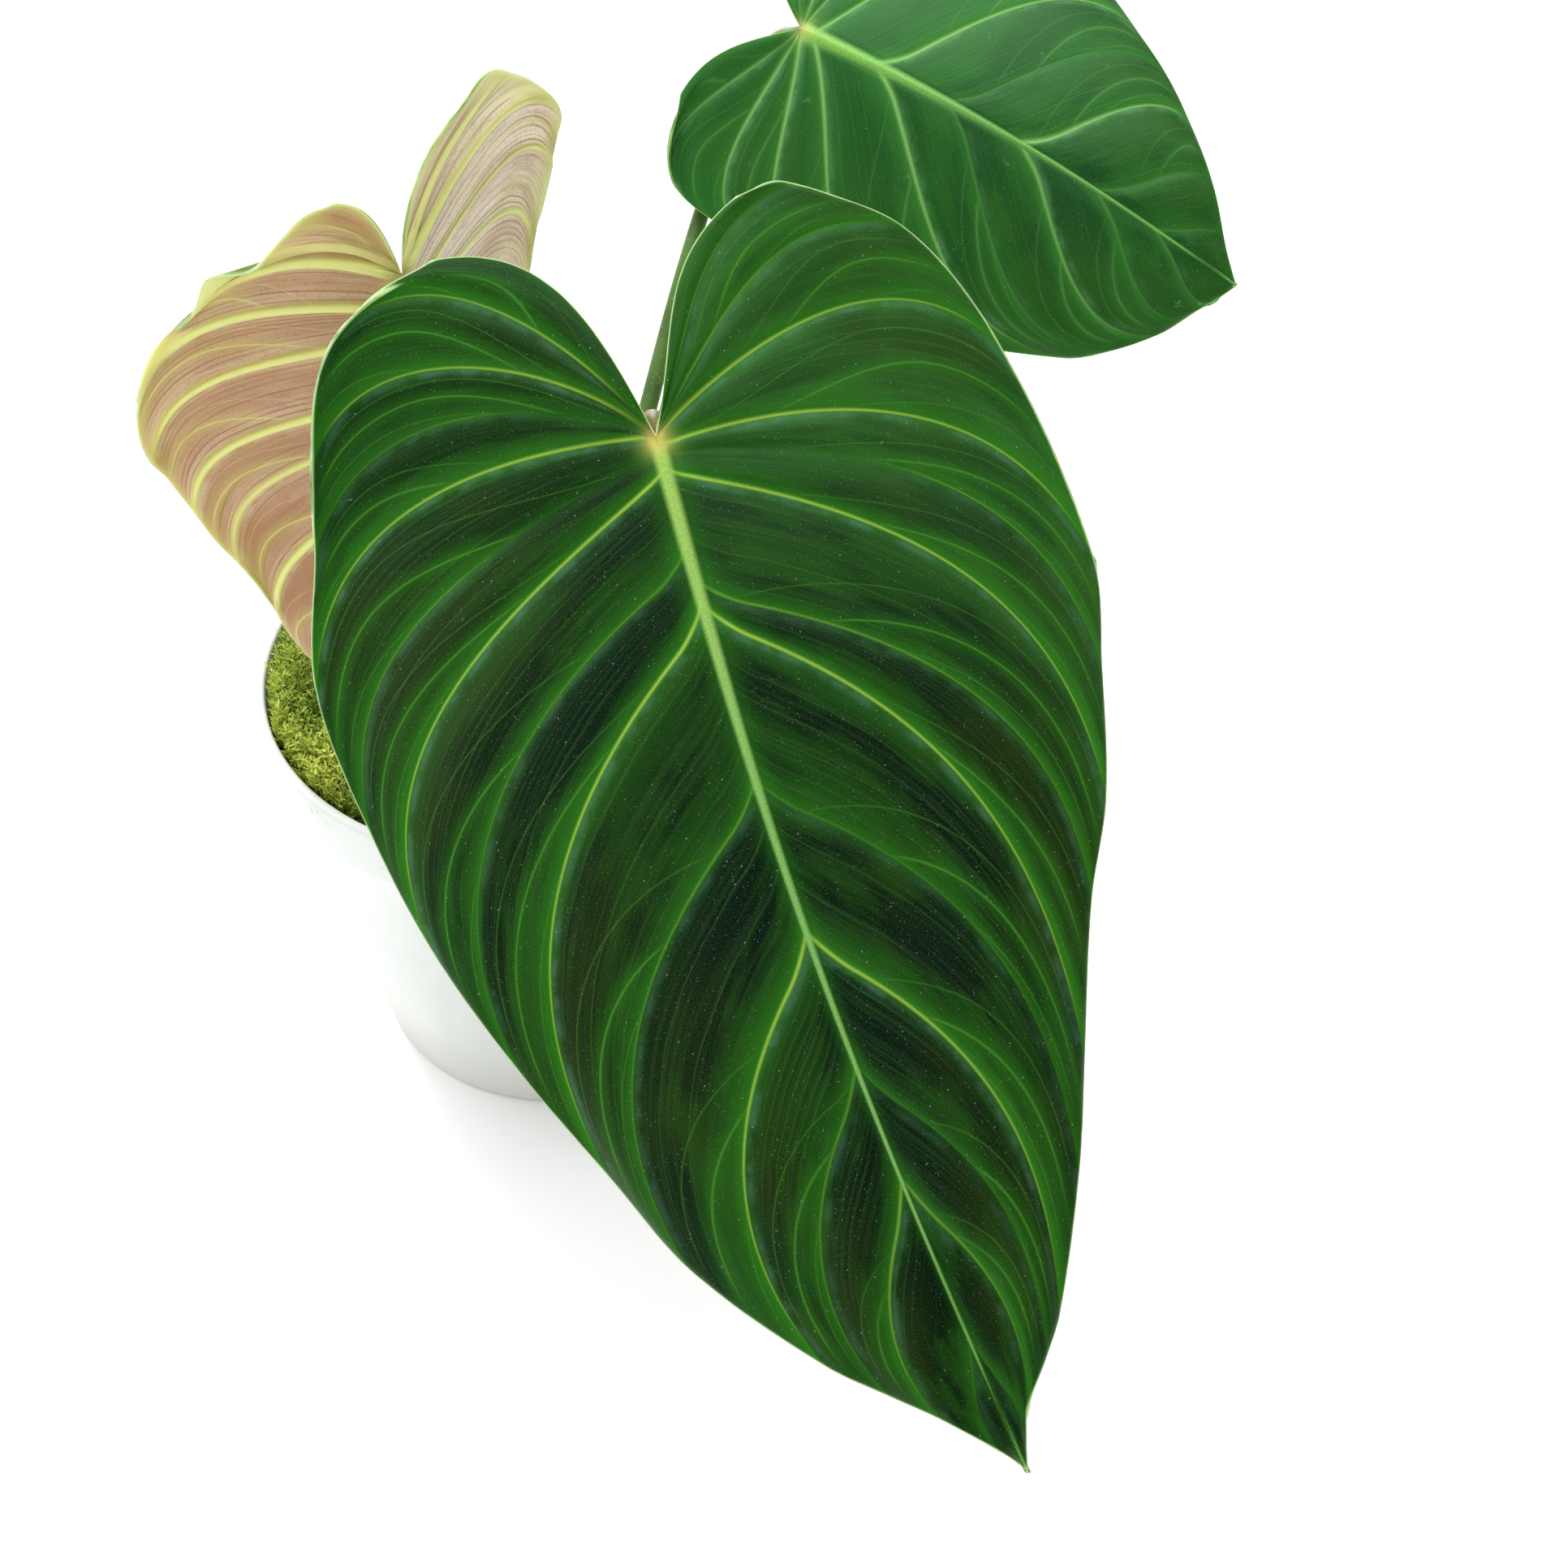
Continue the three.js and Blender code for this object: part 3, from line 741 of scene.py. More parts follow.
def blade_finish(name, leaf, look):
    """Painted in layers that follow the veins: ground, painted shade between the veins, a painted lit half,
    streaks, a glow beside each vein painted stronger on its notchward side, a painted sheen beside each
    vein, branches, side veins, midrib, joint, edge, dust and painted glints, and grain."""
    f = Finish(name)
    u, v, _ = f.uv("veins").xyz()
    flat = f.uv("flat")
    across, tipwards, _ = flat.xyz()
    spacing = f.attribute("spacing")
    edge = f.attribute("edge")
    bold = f.attribute("bold")
    phase = u * leaf.last
    half = (v * 2) - 1
    along = half.size()
    side = half.over(0) * 2 - 1

    aside = (phase - phase.rounded()) * spacing
    distance = aside.size()
    inner = edge.rise(0, 5)
    wobble = f.noise(flat, 22, 2)
    width = (look["vein_width"] * (1.25 - along * 0.85)) * (bold * 0.6 + 0.4)
    line = distance.bell(width) * bold * (1 - along * look["vein_fade"]) * inner
    notchward = aside.rise(0.3, -0.3)
    tipside = aside.rise(-0.05, 0.35)
    reach = look["glow_reach"] * (wobble * 0.9 + 0.5)
    glow = distance.bell(reach) * 0.8 + distance.bell(reach * 2.6) * 0.35
    # Painted light: the glow beside each vein is painted stronger on its notchward side than on its tipward
    # side.
    glow = glow * (notchward * look["painted_light_lean"] + (1 - look["painted_light_lean"]))
    glow = glow * (bold * 0.75 + 0.25) * look["glow"]
    uncrowded = spacing.rise(1.5, 5)
    # Painted sheen: a grey-blue band painted just tipwards of each vein, where the slope faces the light.
    painted_sheen = (distance - 0.9).bell(0.65) * tipside * bold * wobble.rise(0.35, 0.65) * uncrowded

    number = phase.whole() + 1
    ahead = number - phase
    seed = number * 2.3 + side * 1.7

    def offshoot(start, spread, reach_share, thickness):
        """A line that leaves its side vein and runs alongside at a share of the spacing."""
        gone = along - start
        left = 1 - (gone / spread).least(1).most(0)
        away = (ahead - (1 - left * left) * reach_share).size() * spacing
        return away, away.bell(look["vein_width"] * thickness) * gone.rise(-0.01, 0.06)

    fork = seed.wave() * FORK_SWAY + FORK_FROM
    branch, branch_line = offshoot(fork, number * BRANCH_RUN_GAIN + BRANCH_RUN, 0.5, 0.6)
    twig_fork = fork + 0.2 + (number * 4.1 + side).wave() * 0.06
    _, twig_line = offshoot(twig_fork, number * 0.04 + 0.4, 0.24, 0.42)
    outer_fork = fork - 0.16 + (number * 3.3 - side).wave() * 0.05
    _, outer_line = offshoot(outer_fork, number * 0.05 + 0.4, 0.76, 0.42)
    outer = uncrowded * phase.rise(leaf.last - 1.6, leaf.last - 2.6)
    branches = branch_line.most(twig_line * 0.55).most(outer_line * 0.45) * inner * outer
    branch_glow = branch.bell(1.3) * (along - fork).rise(0, 0.15) * look["glow"] * 0.4 * outer

    waver = f.noise(flat, 14, 2) * 0.5
    ranks = phase * FINE_VEINS + waver
    rank_shown = f.node("TexWhiteNoise", {"noise_dimensions": "1D"}, {"W": ranks.rounded() + side * 40})
    rank_gap = (ranks - ranks.rounded()).size() * spacing / FINE_VEINS
    wide_enough = spacing.rise(look["rank_from"], look["rank_from"] * 1.8)
    streak = rank_gap.bell(look["rank_width"]) * rank_shown.rise(0.2, 0.8) * wide_enough * edge.rise(0, 3)
    combing = f.node("CombineXYZ", {}, {0: phase * 30, 1: along * 3 + side * 5, 2: 3.0})
    fine_streak = f.noise(combing, 1.0, 0, 0.5).rise(0.4, 0.75) * outer

    along_veins = f.node("CombineXYZ", {}, {0: phase * 1.7, 1: along * 2.2 + side * 9, 2: 7.0})
    blotch = f.noise(along_veins, 1.0, 3, 0.6)
    cool = along.rise(0.7, 0.25) * phase.rise(4, 7) * phase.rise(leaf.last, leaf.last - 4)
    warmth = f.noise(flat, 3.6, 1, 0.4, 0.4)
    # Painted shade of the quilting: each cushion between the veins is darkest about a third of the way from
    # one vein to the next tipwards, and lighter beside the veins. The deep colour stands partly for the
    # leaf's own dark colour and partly for this painted shade.
    pillow = (phase.part() ** 0.65 * math.pi).wave()
    shade = 1 - (1 - pillow) * (bold * 0.65 + 0.35)
    grain = f.noise(flat, 400, 2, 0.7)
    cell = f.noise(flat, 260, 1, 0.5)

    deep_and_shade = f.mix(cool * blotch.rise(0.6, 0.4), look["deep_and_shade"], look["cool"])
    shade = shade * (blotch.rise(0.62, 0.38) * look["blotches"] + (1 - look["blotches"]))
    # Painted shade: the deep colour laid over the ground where the cushions are shaded.
    colour = f.mix((shade * 1.45).least(1), look["ground"], deep_and_shade)
    tipmost = phase.rise(leaf.last - 5, leaf.last - 2) * 0.2
    warm = (warmth + tipmost).rise(0.42, 0.62) * pillow * along.rise(0.1, 0.5)
    lit = (side * look["lit_side"]).rise(-0.5, 0.5) * (blotch.rise(0.3, 0.6) * 0.5 + 0.5)
    lit = lit * phase.rise(8, 3.5)
    layers = [
        (phase.rise(7.5, 2) * look["lobe_share"], look["lobe"]),
        (warm * look["warm_share"], look["warm"]),
        (lit * look["lit_share"], look["lit_colour"]),
        (fine_streak * look["streak_share"] * 0.4, look["streak"]),
    ]
    if look["network_share"]:
        bent = f.node("VectorMath", {"operation": "MULTIPLY_ADD"}, {
            0: f.node("TexNoise", {}, {"Vector": flat, "Scale": 60.0}, "Color"), 1: (0.02, 0.02, 0), 2: flat,
        })
        network = f.cells(bent, 74, feature="DISTANCE_TO_EDGE").rise(0.05, 0.0)
        layers.append((network * look["network_share"] * inner, look["streak"]))

    full = leaf.length / 100
    bow = (tipwards / full).least(1).most(0) * math.pi
    out = (across - bow.wave() * (leaf.bow / 100)).size() * 100
    left = (1 - tipwards / full).least(1).most(0)
    rib = (left**RIB_POWER * RIB_GAIN + RIB_AT_TIP) * (leaf.length / RIB_LEAF_LENGTH)
    on_rib = tipwards.rise(-0.015, 0.005)
    band = (out / (rib * look["midrib_width"])).rise(1.5, 0.4) * on_rib
    band_colour = f.mix(left.rise(0.55, 1.0), look["midrib"], look["midrib_base"])
    band_colour = f.mix(cell.rise(0.35, 0.65) * 0.28, band_colour, look["midrib_dark"])

    def away_from(forward):
        """Distance in mm from a place on the middle line this far tipwards, in tenths of a metre."""
        ahead_of_it = tipwards - forward
        return (across * across + ahead_of_it * ahead_of_it) ** 0.5 * 100

    from_joint = away_from(0.01)
    layers += [
        (streak * look["streak_share"], look["streak"]),
        (glow.most(branch_glow).least(1), look["glow_colour"]),
        # Painted sheen laid over the colour.
        (painted_sheen * (cell * 0.6 + 0.7) * look["painted_sheen_share"], look["painted_sheen"]),
        (branches * look["branch_share"], look["branch"]),
        (line.least(1), f.mix(bold.rise(0.25, 1.0), look["branch"], look["vein"])),
        (out.bell(rib * 2.6) * on_rib * look["glow"] * 0.55, look["glow_colour"]),
        (band * 0.9, band_colour),
        (from_joint.bell(3.0) * look["joint_share"] * 0.45, look["midrib_base"]),
        (from_joint.bell(1.9) * look["joint_share"], look["joint"]),
        (away_from(-0.006).bell(1.3) * look["joint_share"], look["joint_dark"]),
        (edge.bell(look["edge_width"] * 5) * look["edge_glow"], look["glow_colour"]),
        (edge.bell(look["edge_width"] * (wobble + 0.5)), look["edge"]),
    ]

    # Pale specks and larger flecks, painted partly as dust and partly as painted glints of the velvety skin;
    # scuffs join them where a look sets them.
    specks = f.cells(flat, 62)
    speck = specks.rise(0.1, 0.04) * specks.also("Color").xyz()[0].rise(0.2, 1.0)
    mote = f.cells(flat, 118).rise(0.12, 0.05)
    dust_and_glints = speck.most(mote * 0.7) * look["dust_and_glints"]
    chips = f.cells(f.stretch(flat, (1.0, 0.45, 1.0), (0, 0, 0.7)), 13)
    chip = chips.rise(0.035, 0.018) * chips.also("Color").xyz()[1].over(0.72)
    dust_and_glints = dust_and_glints.most(chip * look["flecks"])
    if look["scuffs"]:
        worn = f.noise(flat, 36, 4, 0.75).rise(0.6, 0.72) * f.noise(flat, 7, 1).rise(0.55, 0.7)
        dust_and_glints = dust_and_glints.most(worn * look["scuffs"])
    layers += [
        (dust_and_glints, look["dust_and_glint_colour"]),
        (grain.rise(0.5, 0.72) * look["grain"], look["grain_light"]),
        (grain.rise(0.48, 0.3) * look["grain"], look["grain_dark"]),
    ]
    for share, paint in layers:
        colour = f.mix(share, colour, paint)

    height = line * look["raised"] + branches * (look["raised"] * 0.5)
    height = height + streak * 0.12 + fine_streak * 0.05 + grain * 0.1 + band * 0.15
    roughness = look["roughness"] + (grain - 0.5) * 0.18 + line * 0.08
    normal = f.bump(height, 0.35 * MM, 0.55)
    skin = f.glaze(
        colour,
        roughness,
        normal,
        Specular_IOR_Level=look["gloss"],
        Specular_Tint=look["gloss_tint"],
    )
    if not look["lit_through"]:
        return f.done(skin)
    through = f.node("BsdfTranslucent", {}, {"Color": look["light_through"]})
    through_share = (1 - lit * look["lit_share"]) * look["lit_through"]
    return f.done(f.node("MixShader", {}, {0: through_share, 1: skin, 2: through}))


DARK_UPPER = {
    "deep_and_shade": srgb(4, 14, 5),
    "cool": srgb(4, 11, 11),
    "ground": srgb(30, 78, 17),
    "blotches": 0.5,
    "lit_side": 1,
    "lit_share": 0.22,
    "lit_colour": srgb(66, 130, 56),
    "warm": srgb(32, 44, 6),
    "warm_share": 0.45,
    "lobe": srgb(34, 86, 24),
    "lobe_share": 0.15,
    "streak": srgb(62, 92, 44),
    "streak_share": 0.26,
    "grain": 0.22,
    "grain_light": srgb(66, 112, 56),
    "grain_dark": srgb(6, 18, 8),
    "glow": 0.62,
    "glow_reach": 1.1,
    "glow_colour": srgb(42, 114, 20),
    "painted_sheen": srgb(78, 116, 98),
    "painted_sheen_share": 0.3,
    "vein": srgb(142, 180, 66),
    "vein_width": 0.25,
    "vein_fade": 0.6,
    "branch": srgb(66, 126, 38),
    "branch_share": 0.6,
    "midrib": srgb(122, 168, 90),
    "midrib_base": srgb(152, 186, 90),
    "midrib_dark": srgb(78, 130, 56),
    "midrib_width": 0.9,
    "joint": srgb(196, 176, 92),
    "joint_dark": srgb(150, 96, 62),
    "joint_share": 0.7,
    "rank_from": 8,
    "rank_width": 0.11,
    "network_share": 0.0,
    "edge": srgb(186, 214, 150),
    "edge_width": 0.15,
    "edge_glow": 0.15,
    "dust_and_glints": 0.4,
    "flecks": 0.6,
    "dust_and_glint_colour": srgb(158, 184, 164),
    "scuffs": 0.0,
    "painted_light_lean": 0.72,
    "raised": 0.3,
    "roughness": 0.4,
    "gloss": 0.16,
    "gloss_tint": srgb(125, 200, 125),
    "lit_through": 0,
}

GREEN_UPPER = DARK_UPPER | {
    "lit_share": 0.0,
    "deep_and_shade": srgb(16, 62, 18),
    "cool": srgb(14, 54, 24),
    "ground": srgb(34, 92, 30),
    "warm": srgb(44, 84, 22),
    "warm_share": 0.4,
    "lobe": srgb(40, 104, 40),
    "lobe_share": 0.3,
    "grain": 0.4,
    "streak": srgb(76, 130, 68),
    "streak_share": 0.12,
    "glow": 0.5,
    "glow_colour": srgb(62, 128, 44),
    "painted_sheen": srgb(110, 150, 120),
    "painted_sheen_share": 0.25,
    "vein": srgb(126, 176, 96),
    "vein_width": 0.42,
    "branch": srgb(88, 144, 72),
    "branch_share": 0.35,
    "midrib": srgb(118, 176, 88),
    "midrib_base": srgb(144, 196, 92),
    "midrib_width": 1.9,
    "scuffs": 0.45,
    "joint": srgb(186, 196, 108),
    "edge": srgb(140, 184, 96),
    "dust_and_glints": 0.3,
    "flecks": 0.5,
    "roughness": 0.36,
    "gloss": 0.4,
}

LEAF_UNDERSIDE = DARK_UPPER | {
    "lit_share": 0.0,
    "deep_and_shade": srgb(92, 104, 66),
    "cool": srgb(84, 100, 70),
    "gloss_tint": srgb(255, 255, 255),
    "ground": srgb(104, 122, 78),
    "warm": srgb(124, 88, 72),
    "warm_share": 0.9,
    "lobe": srgb(104, 122, 78),
    "streak": srgb(128, 150, 92),
    "streak_share": 0.3,
    "grain_light": srgb(140, 156, 110),
    "grain_dark": srgb(70, 80, 48),
    "glow": 0.5,
    "glow_colour": srgb(112, 150, 74),
    "painted_sheen_share": 0.0,
    "vein": srgb(176, 200, 120),
    "vein_width": 0.6,
    "branch": srgb(150, 176, 100),
    "midrib": srgb(176, 202, 124),
    "midrib_base": srgb(190, 205, 130),
    "midrib_dark": srgb(140, 170, 92),
    "dust_and_glints": 0.0,
    "flecks": 0.0,
    "roughness": 0.5,
}

YOUNG_UNDERSIDE = DARK_UPPER | {
    "deep_and_shade": srgb(166, 118, 102),
    "cool": srgb(160, 110, 88),
    "lit_side": -1,
    "lit_share": 0.85,
    "lit_colour": srgb(255, 242, 220),
    "gloss_tint": srgb(255, 255, 255),
    "ground": srgb(212, 172, 160),
    "warm": srgb(156, 100, 74),
    "warm_share": 0.5,
    "lobe": srgb(255, 228, 196),
    "lobe_share": 0.2,
    "streak": srgb(128, 74, 54),
    "streak_share": 0.8,
    "rank_from": 1.6,
    "rank_width": 0.15,
    "network_share": 0.4,
    "grain": 0.08,
    "grain_light": srgb(250, 236, 220),
    "grain_dark": srgb(140, 90, 70),
    "glow": 0.6,
    "glow_reach": 0.6,
    "painted_light_lean": 0.2,
    "glow_colour": srgb(208, 218, 100),
    "painted_sheen": srgb(236, 226, 214),
    "vein": srgb(232, 242, 150),
    "vein_width": 0.24,
    "vein_fade": 0.2,
    "branch": srgb(226, 220, 150),
    "midrib": srgb(214, 230, 140),
    "midrib_base": srgb(220, 232, 150),
    "midrib_dark": srgb(196, 210, 110),
    "midrib_width": 1.3,
    "joint": srgb(200, 202, 121),
    "edge": srgb(224, 232, 160),
    "edge_width": 0.35,
    "edge_glow": 0.4,
    "dust_and_glints": 0.0,
    "flecks": 0.0,
    "roughness": 0.45,
    "lit_through": 0.28,
    "light_through": srgb(244, 206, 196),
}

YOUNG_UPPER = DARK_UPPER | {
    "lit_share": 0.0,
    "deep_and_shade": srgb(70, 96, 38),
    "cool": srgb(60, 90, 36),
    "gloss_tint": srgb(255, 255, 255),
    "ground": srgb(96, 122, 50),
    "warm": srgb(128, 84, 48),
    "warm_share": 0.85,
    "lobe": srgb(96, 122, 50),
    "streak": srgb(130, 140, 74),
    "grain_light": srgb(150, 160, 100),
    "grain_dark": srgb(50, 70, 26),
    "glow_colour": srgb(120, 160, 56),
    "painted_sheen": srgb(150, 176, 120),
    "vein": srgb(190, 214, 96),
    "vein_width": 0.5,
    "branch": srgb(156, 186, 84),
    "midrib": srgb(176, 204, 104),
    "dust_and_glints": 0.15,
    "flecks": 0.0,
    "roughness": 0.34,
    "lit_through": 0.4,
    "light_through": srgb(180, 190, 90),
}


def rim_finish(name, tint, shade):
    """The thin cut-like edge of a blade, paler than its faces."""
    f = Finish(name)
    patch = f.noise(f.place(), 160, 2)
    colour = f.mix(patch.rise(0.35, 0.65), tint, shade)
    return f.done(f.glaze(colour, 0.45, Specular_IOR_Level=0.4))


# Stalks and stem

STALKS = {
    "stalk_front": {
        "points": [
            (16.3, -35, 113), (19, -39, 136), (24, -47, 168), (29.5, -61, 200),
            (33.3, -73, 217.5), (34.4, -79, 221.9), (34.8, -84, 224),
        ],
        "foot": 2.7,
        "top": 1.45,
    },
    "stalk_right": {
        "points": [
            (16.7, -19.6, 112), (19, -8, 126), (23, 9, 142), (28, 26.5, 155.5), (34, 45.5, 170),
            (41, 64.5, 184.5), (47, 75.5, 196.5), (51.5, 78.7, 202.8), (54.8, 76, 206.8),
            (56.6, 73, 208.6), (58.6, 70.2, 210.3),
        ],
        "foot": 2.3,
        "top": 1.5,
    },
    "stalk_left": {
        "points": [
            (9.2, -34, 117.5), (6, -45, 135), (2.5, -54, 165), (-2.5, -60.5, 203),
            (-5.8, -62, 224), (-7, -57.8, 231),
        ],
        "foot": 2.4,
        "top": 1.5,
    },
}
STEM_FOOT = Vector((12, -27, 62))
STEM_POINTS = [(12, -27, 62), (12, -27, 88), (12, -27, 106), (12.6, -26.6, 114), (13.5, -26, 123)]
STEM_RADIUS = 5.8
STEM_NODES = (104, 111, 118)
ROOTS = [
    [(16, -28, 117), (26, -31, 117.5), (30.5, -33, 109.4), 1.3],
    [(8, -26, 111), (0, -23, 113), (-3.5, -20.5, 109.2), 1.2],
    [(11, -23, 110), (7, -14, 112.5), (5, -9.5, 109.2), 1.1],
]
SHOOT_POINTS = [(13.6, -26, 123.6), (16, -24, 138), (21, -19, 163)]
SHOOT_RADIUS = 3.4


def stalk_piece(name, node, stalk, leaf, finish):
    """A leaf stalk: sheathed where it leaves the stem, shallowly channelled, thickened in a knee under
    the blade, and run into the rib on its underside."""
    points = [Vector(p) for p in stalk["points"]]
    into_stem = Vector((12.6, -26.6, points[0].z - 2))
    into_rib = leaf.notch + leaf.tipward * 5 - leaf.up * 1.6
    path = Path([into_stem, *points, into_rib])
    inside = (points[1] - points[0]).length / path.length

    def radius_at(share):
        out = max(share - inside, 0)
        sheath = 0.9 * bell(out, 0.07)
        knee = 0.12 * bell(share - 0.93, 0.03)
        radius = lerp(stalk["foot"], stalk["top"], min(out / (1 - inside), 1)) + sheath + knee
        return radius * closed_taper(share) * (1 - 0.6 * smooth(0.95, 1, share))

    def channel(share, angle):
        depth = 0.13 * smooth(0.02, 0.15, share) * smooth(0.95, 0.85, share)
        return 1 - depth * max(0, math.cos(angle - 1.2)) ** 6

    bm = bmesh.new()
    add_tube(bm, path, radius_at, 28, 150, channel)
    settle_solid(bm, name, finish, "stalk_skin", node)


def fine_lines(f, pace, turns, spread, scale):
    """How far a tube has gone, and streaks along it that close round it."""
    along, around, _ = f.uv("UVMap").xyz()
    ring = (around * math.tau).wave() * turns
    lines = f.node("CombineXYZ", {}, {0: along * pace, 1: ring, 2: around * spread})
    return along, f.noise(lines, scale, 2, 0.6)


def stalk_finish():
    """Olive green with fine pale lines along it, tan at the knee and reddish at the foot."""
    f = Finish("stalk skin")
    _, streak = fine_lines(f, 1.5, 7, 9, 3)
    patch = f.noise(f.place(), 90, 2)
    height = f.place().xyz()[2]
    colour = f.mix(patch.rise(0.35, 0.65), srgb(52, 84, 22), srgb(70, 102, 32))
    colour = f.mix(streak.rise(0.5, 0.7) * 0.4, colour, srgb(108, 136, 58))
    colour = f.mix(height.rise(0.135, 0.112) * 0.6, colour, srgb(134, 92, 58))
    knee = height.rise(0.214, 0.2225) * (patch.rise(0.7, 0.4) * 0.3 + 0.6)
    colour = f.mix(knee, colour, srgb(118, 82, 36))
    flecks = f.cells(f.place(), 900).rise(0.2, 0.08)
    colour = f.mix(flecks * 0.35, colour, srgb(160, 176, 104))
    normal = f.bump(streak * 0.6 + flecks * 0.3, 0.25 * MM, 0.6)
    return f.done(f.glaze(colour, 0.38 + patch * 0.15, normal, Specular_IOR_Level=0.25))


def stem_piece(finish):
    """The short creeping stem, ringed with leaf scars, and its aerial roots."""
    path = Path(STEM_POINTS)

    def radius_at(share):
        z = path.at(share).z
        swell = max(bell(z - node, 1.5) for node in STEM_NODES)
        scar = min(bell(z - node - 1.1, 0.35) for node in STEM_NODES)
        radius = STEM_RADIUS - 0.9 * share + 0.9 * swell - 0.5 * scar
        return radius * closed_taper(share)

    def lumps(share, angle):
        place = Vector((math.cos(angle), math.sin(angle), 14 * share))
        return 1 + 0.05 * noise.noise(place * 2)

    bm = bmesh.new()
    add_tube(bm, path, radius_at, 40, 150, lumps)
    for start, bend, tip, thickness in ROOTS:
        root = Path([start, bend, tip])
        add_tube(bm, root, lambda share, r=thickness: r * (1 - 0.35 * share) * closed_taper(share), 14, 40)
    settle_solid(bm, "creeping_stem", finish, "stem_skin", "stem")


def stem_finish():
    """Green-brown, with pale corky scar rings and brown papery scales."""
    f = Finish("stem skin")
    place = f.place()
    patch = f.noise(place, 160, 3, 0.6)
    cork = f.noise(f.stretch(place, (1, 1, 0.25)), 900, 3, 0.6)
    height = place.xyz()[2]
    colour = f.mix(patch.rise(0.35, 0.65), srgb(92, 104, 48), srgb(122, 102, 62))
    for node in STEM_NODES:
        ring = ((height - (node + 1.1) * MM) * 1000).bell(0.7)
        colour = f.mix(ring * 0.8, colour, srgb(176, 158, 116))
    colour = f.mix(cork.rise(0.5, 0.7) * 0.45, colour, srgb(74, 58, 36))
    normal = f.bump(patch * 0.5 + cork * 0.5, 0.5 * MM, 0.8)
    return f.done(f.glaze(colour, 0.62, normal))


def shoot_piece(finish):
    """The next leaf, rolled in its pointed sheath, with the sheath's free edge wrapped round it."""
    path = Path([(13.4, -26.2, 120), *SHOOT_POINTS])

    def radius_at(share):
        belly = (1 - share) ** 0.6 * (0.8 + 0.9 * share)
        return max(0.25, SHOOT_RADIUS * belly) * closed_taper(share)

    def wrap(share, angle):
        turn = (angle - 5 * share) % math.tau
        return 1 + 0.12 * (turn / math.tau) ** 6 * smooth(0.02, 0.2, share)

    bm = bmesh.new()
    add_tube(bm, path, radius_at, 48, 110, wrap)
    settle_solid(bm, "rolled_shoot", finish, "shoot_sheath", "young_shoot")


def shoot_finish():
    """Coppery pink at the foot, greener to the tip, with fine lines along it."""
    f = Finish("shoot sheath")
    along, streak = fine_lines(f, 2, 6, 8, 4)
    colour = f.mix(along.rise(0.05, 0.42), srgb(176, 112, 84), srgb(138, 158, 78))
    colour = f.mix(streak.rise(0.45, 0.7) * 0.5, colour, srgb(206, 180, 128))
    normal = f.bump(streak, 0.2 * MM, 0.6)
    return f.done(f.glaze(colour, 0.4, normal))


# Pot and soil

POT_HEIGHT = 100
POT_RIM = 60
POT_BAND = 13
POT_STEP = 2.2
POT_FOOT = 43
POT_WALL = 2.4
POT_FLOOR = 3
POT_HOLES = 5
POT_HOLE = 4
POT_HOLE_CIRCLE = 25


def round_corner(before, corner, after, radius, steps=4):
    """The points of a corner rounded with an arc-like bend."""
    before, corner, after = Vector(before), Vector(corner), Vector(after)
    start = corner + (before - corner).normalized() * radius
    end = corner + (after - corner).normalized() * radius
    points = []
    for i in range(steps + 1):
        t = i / steps
        points.append(start * (1 - t) ** 2 + corner * (2 * t * (1 - t)) + end * t**2)
    return points


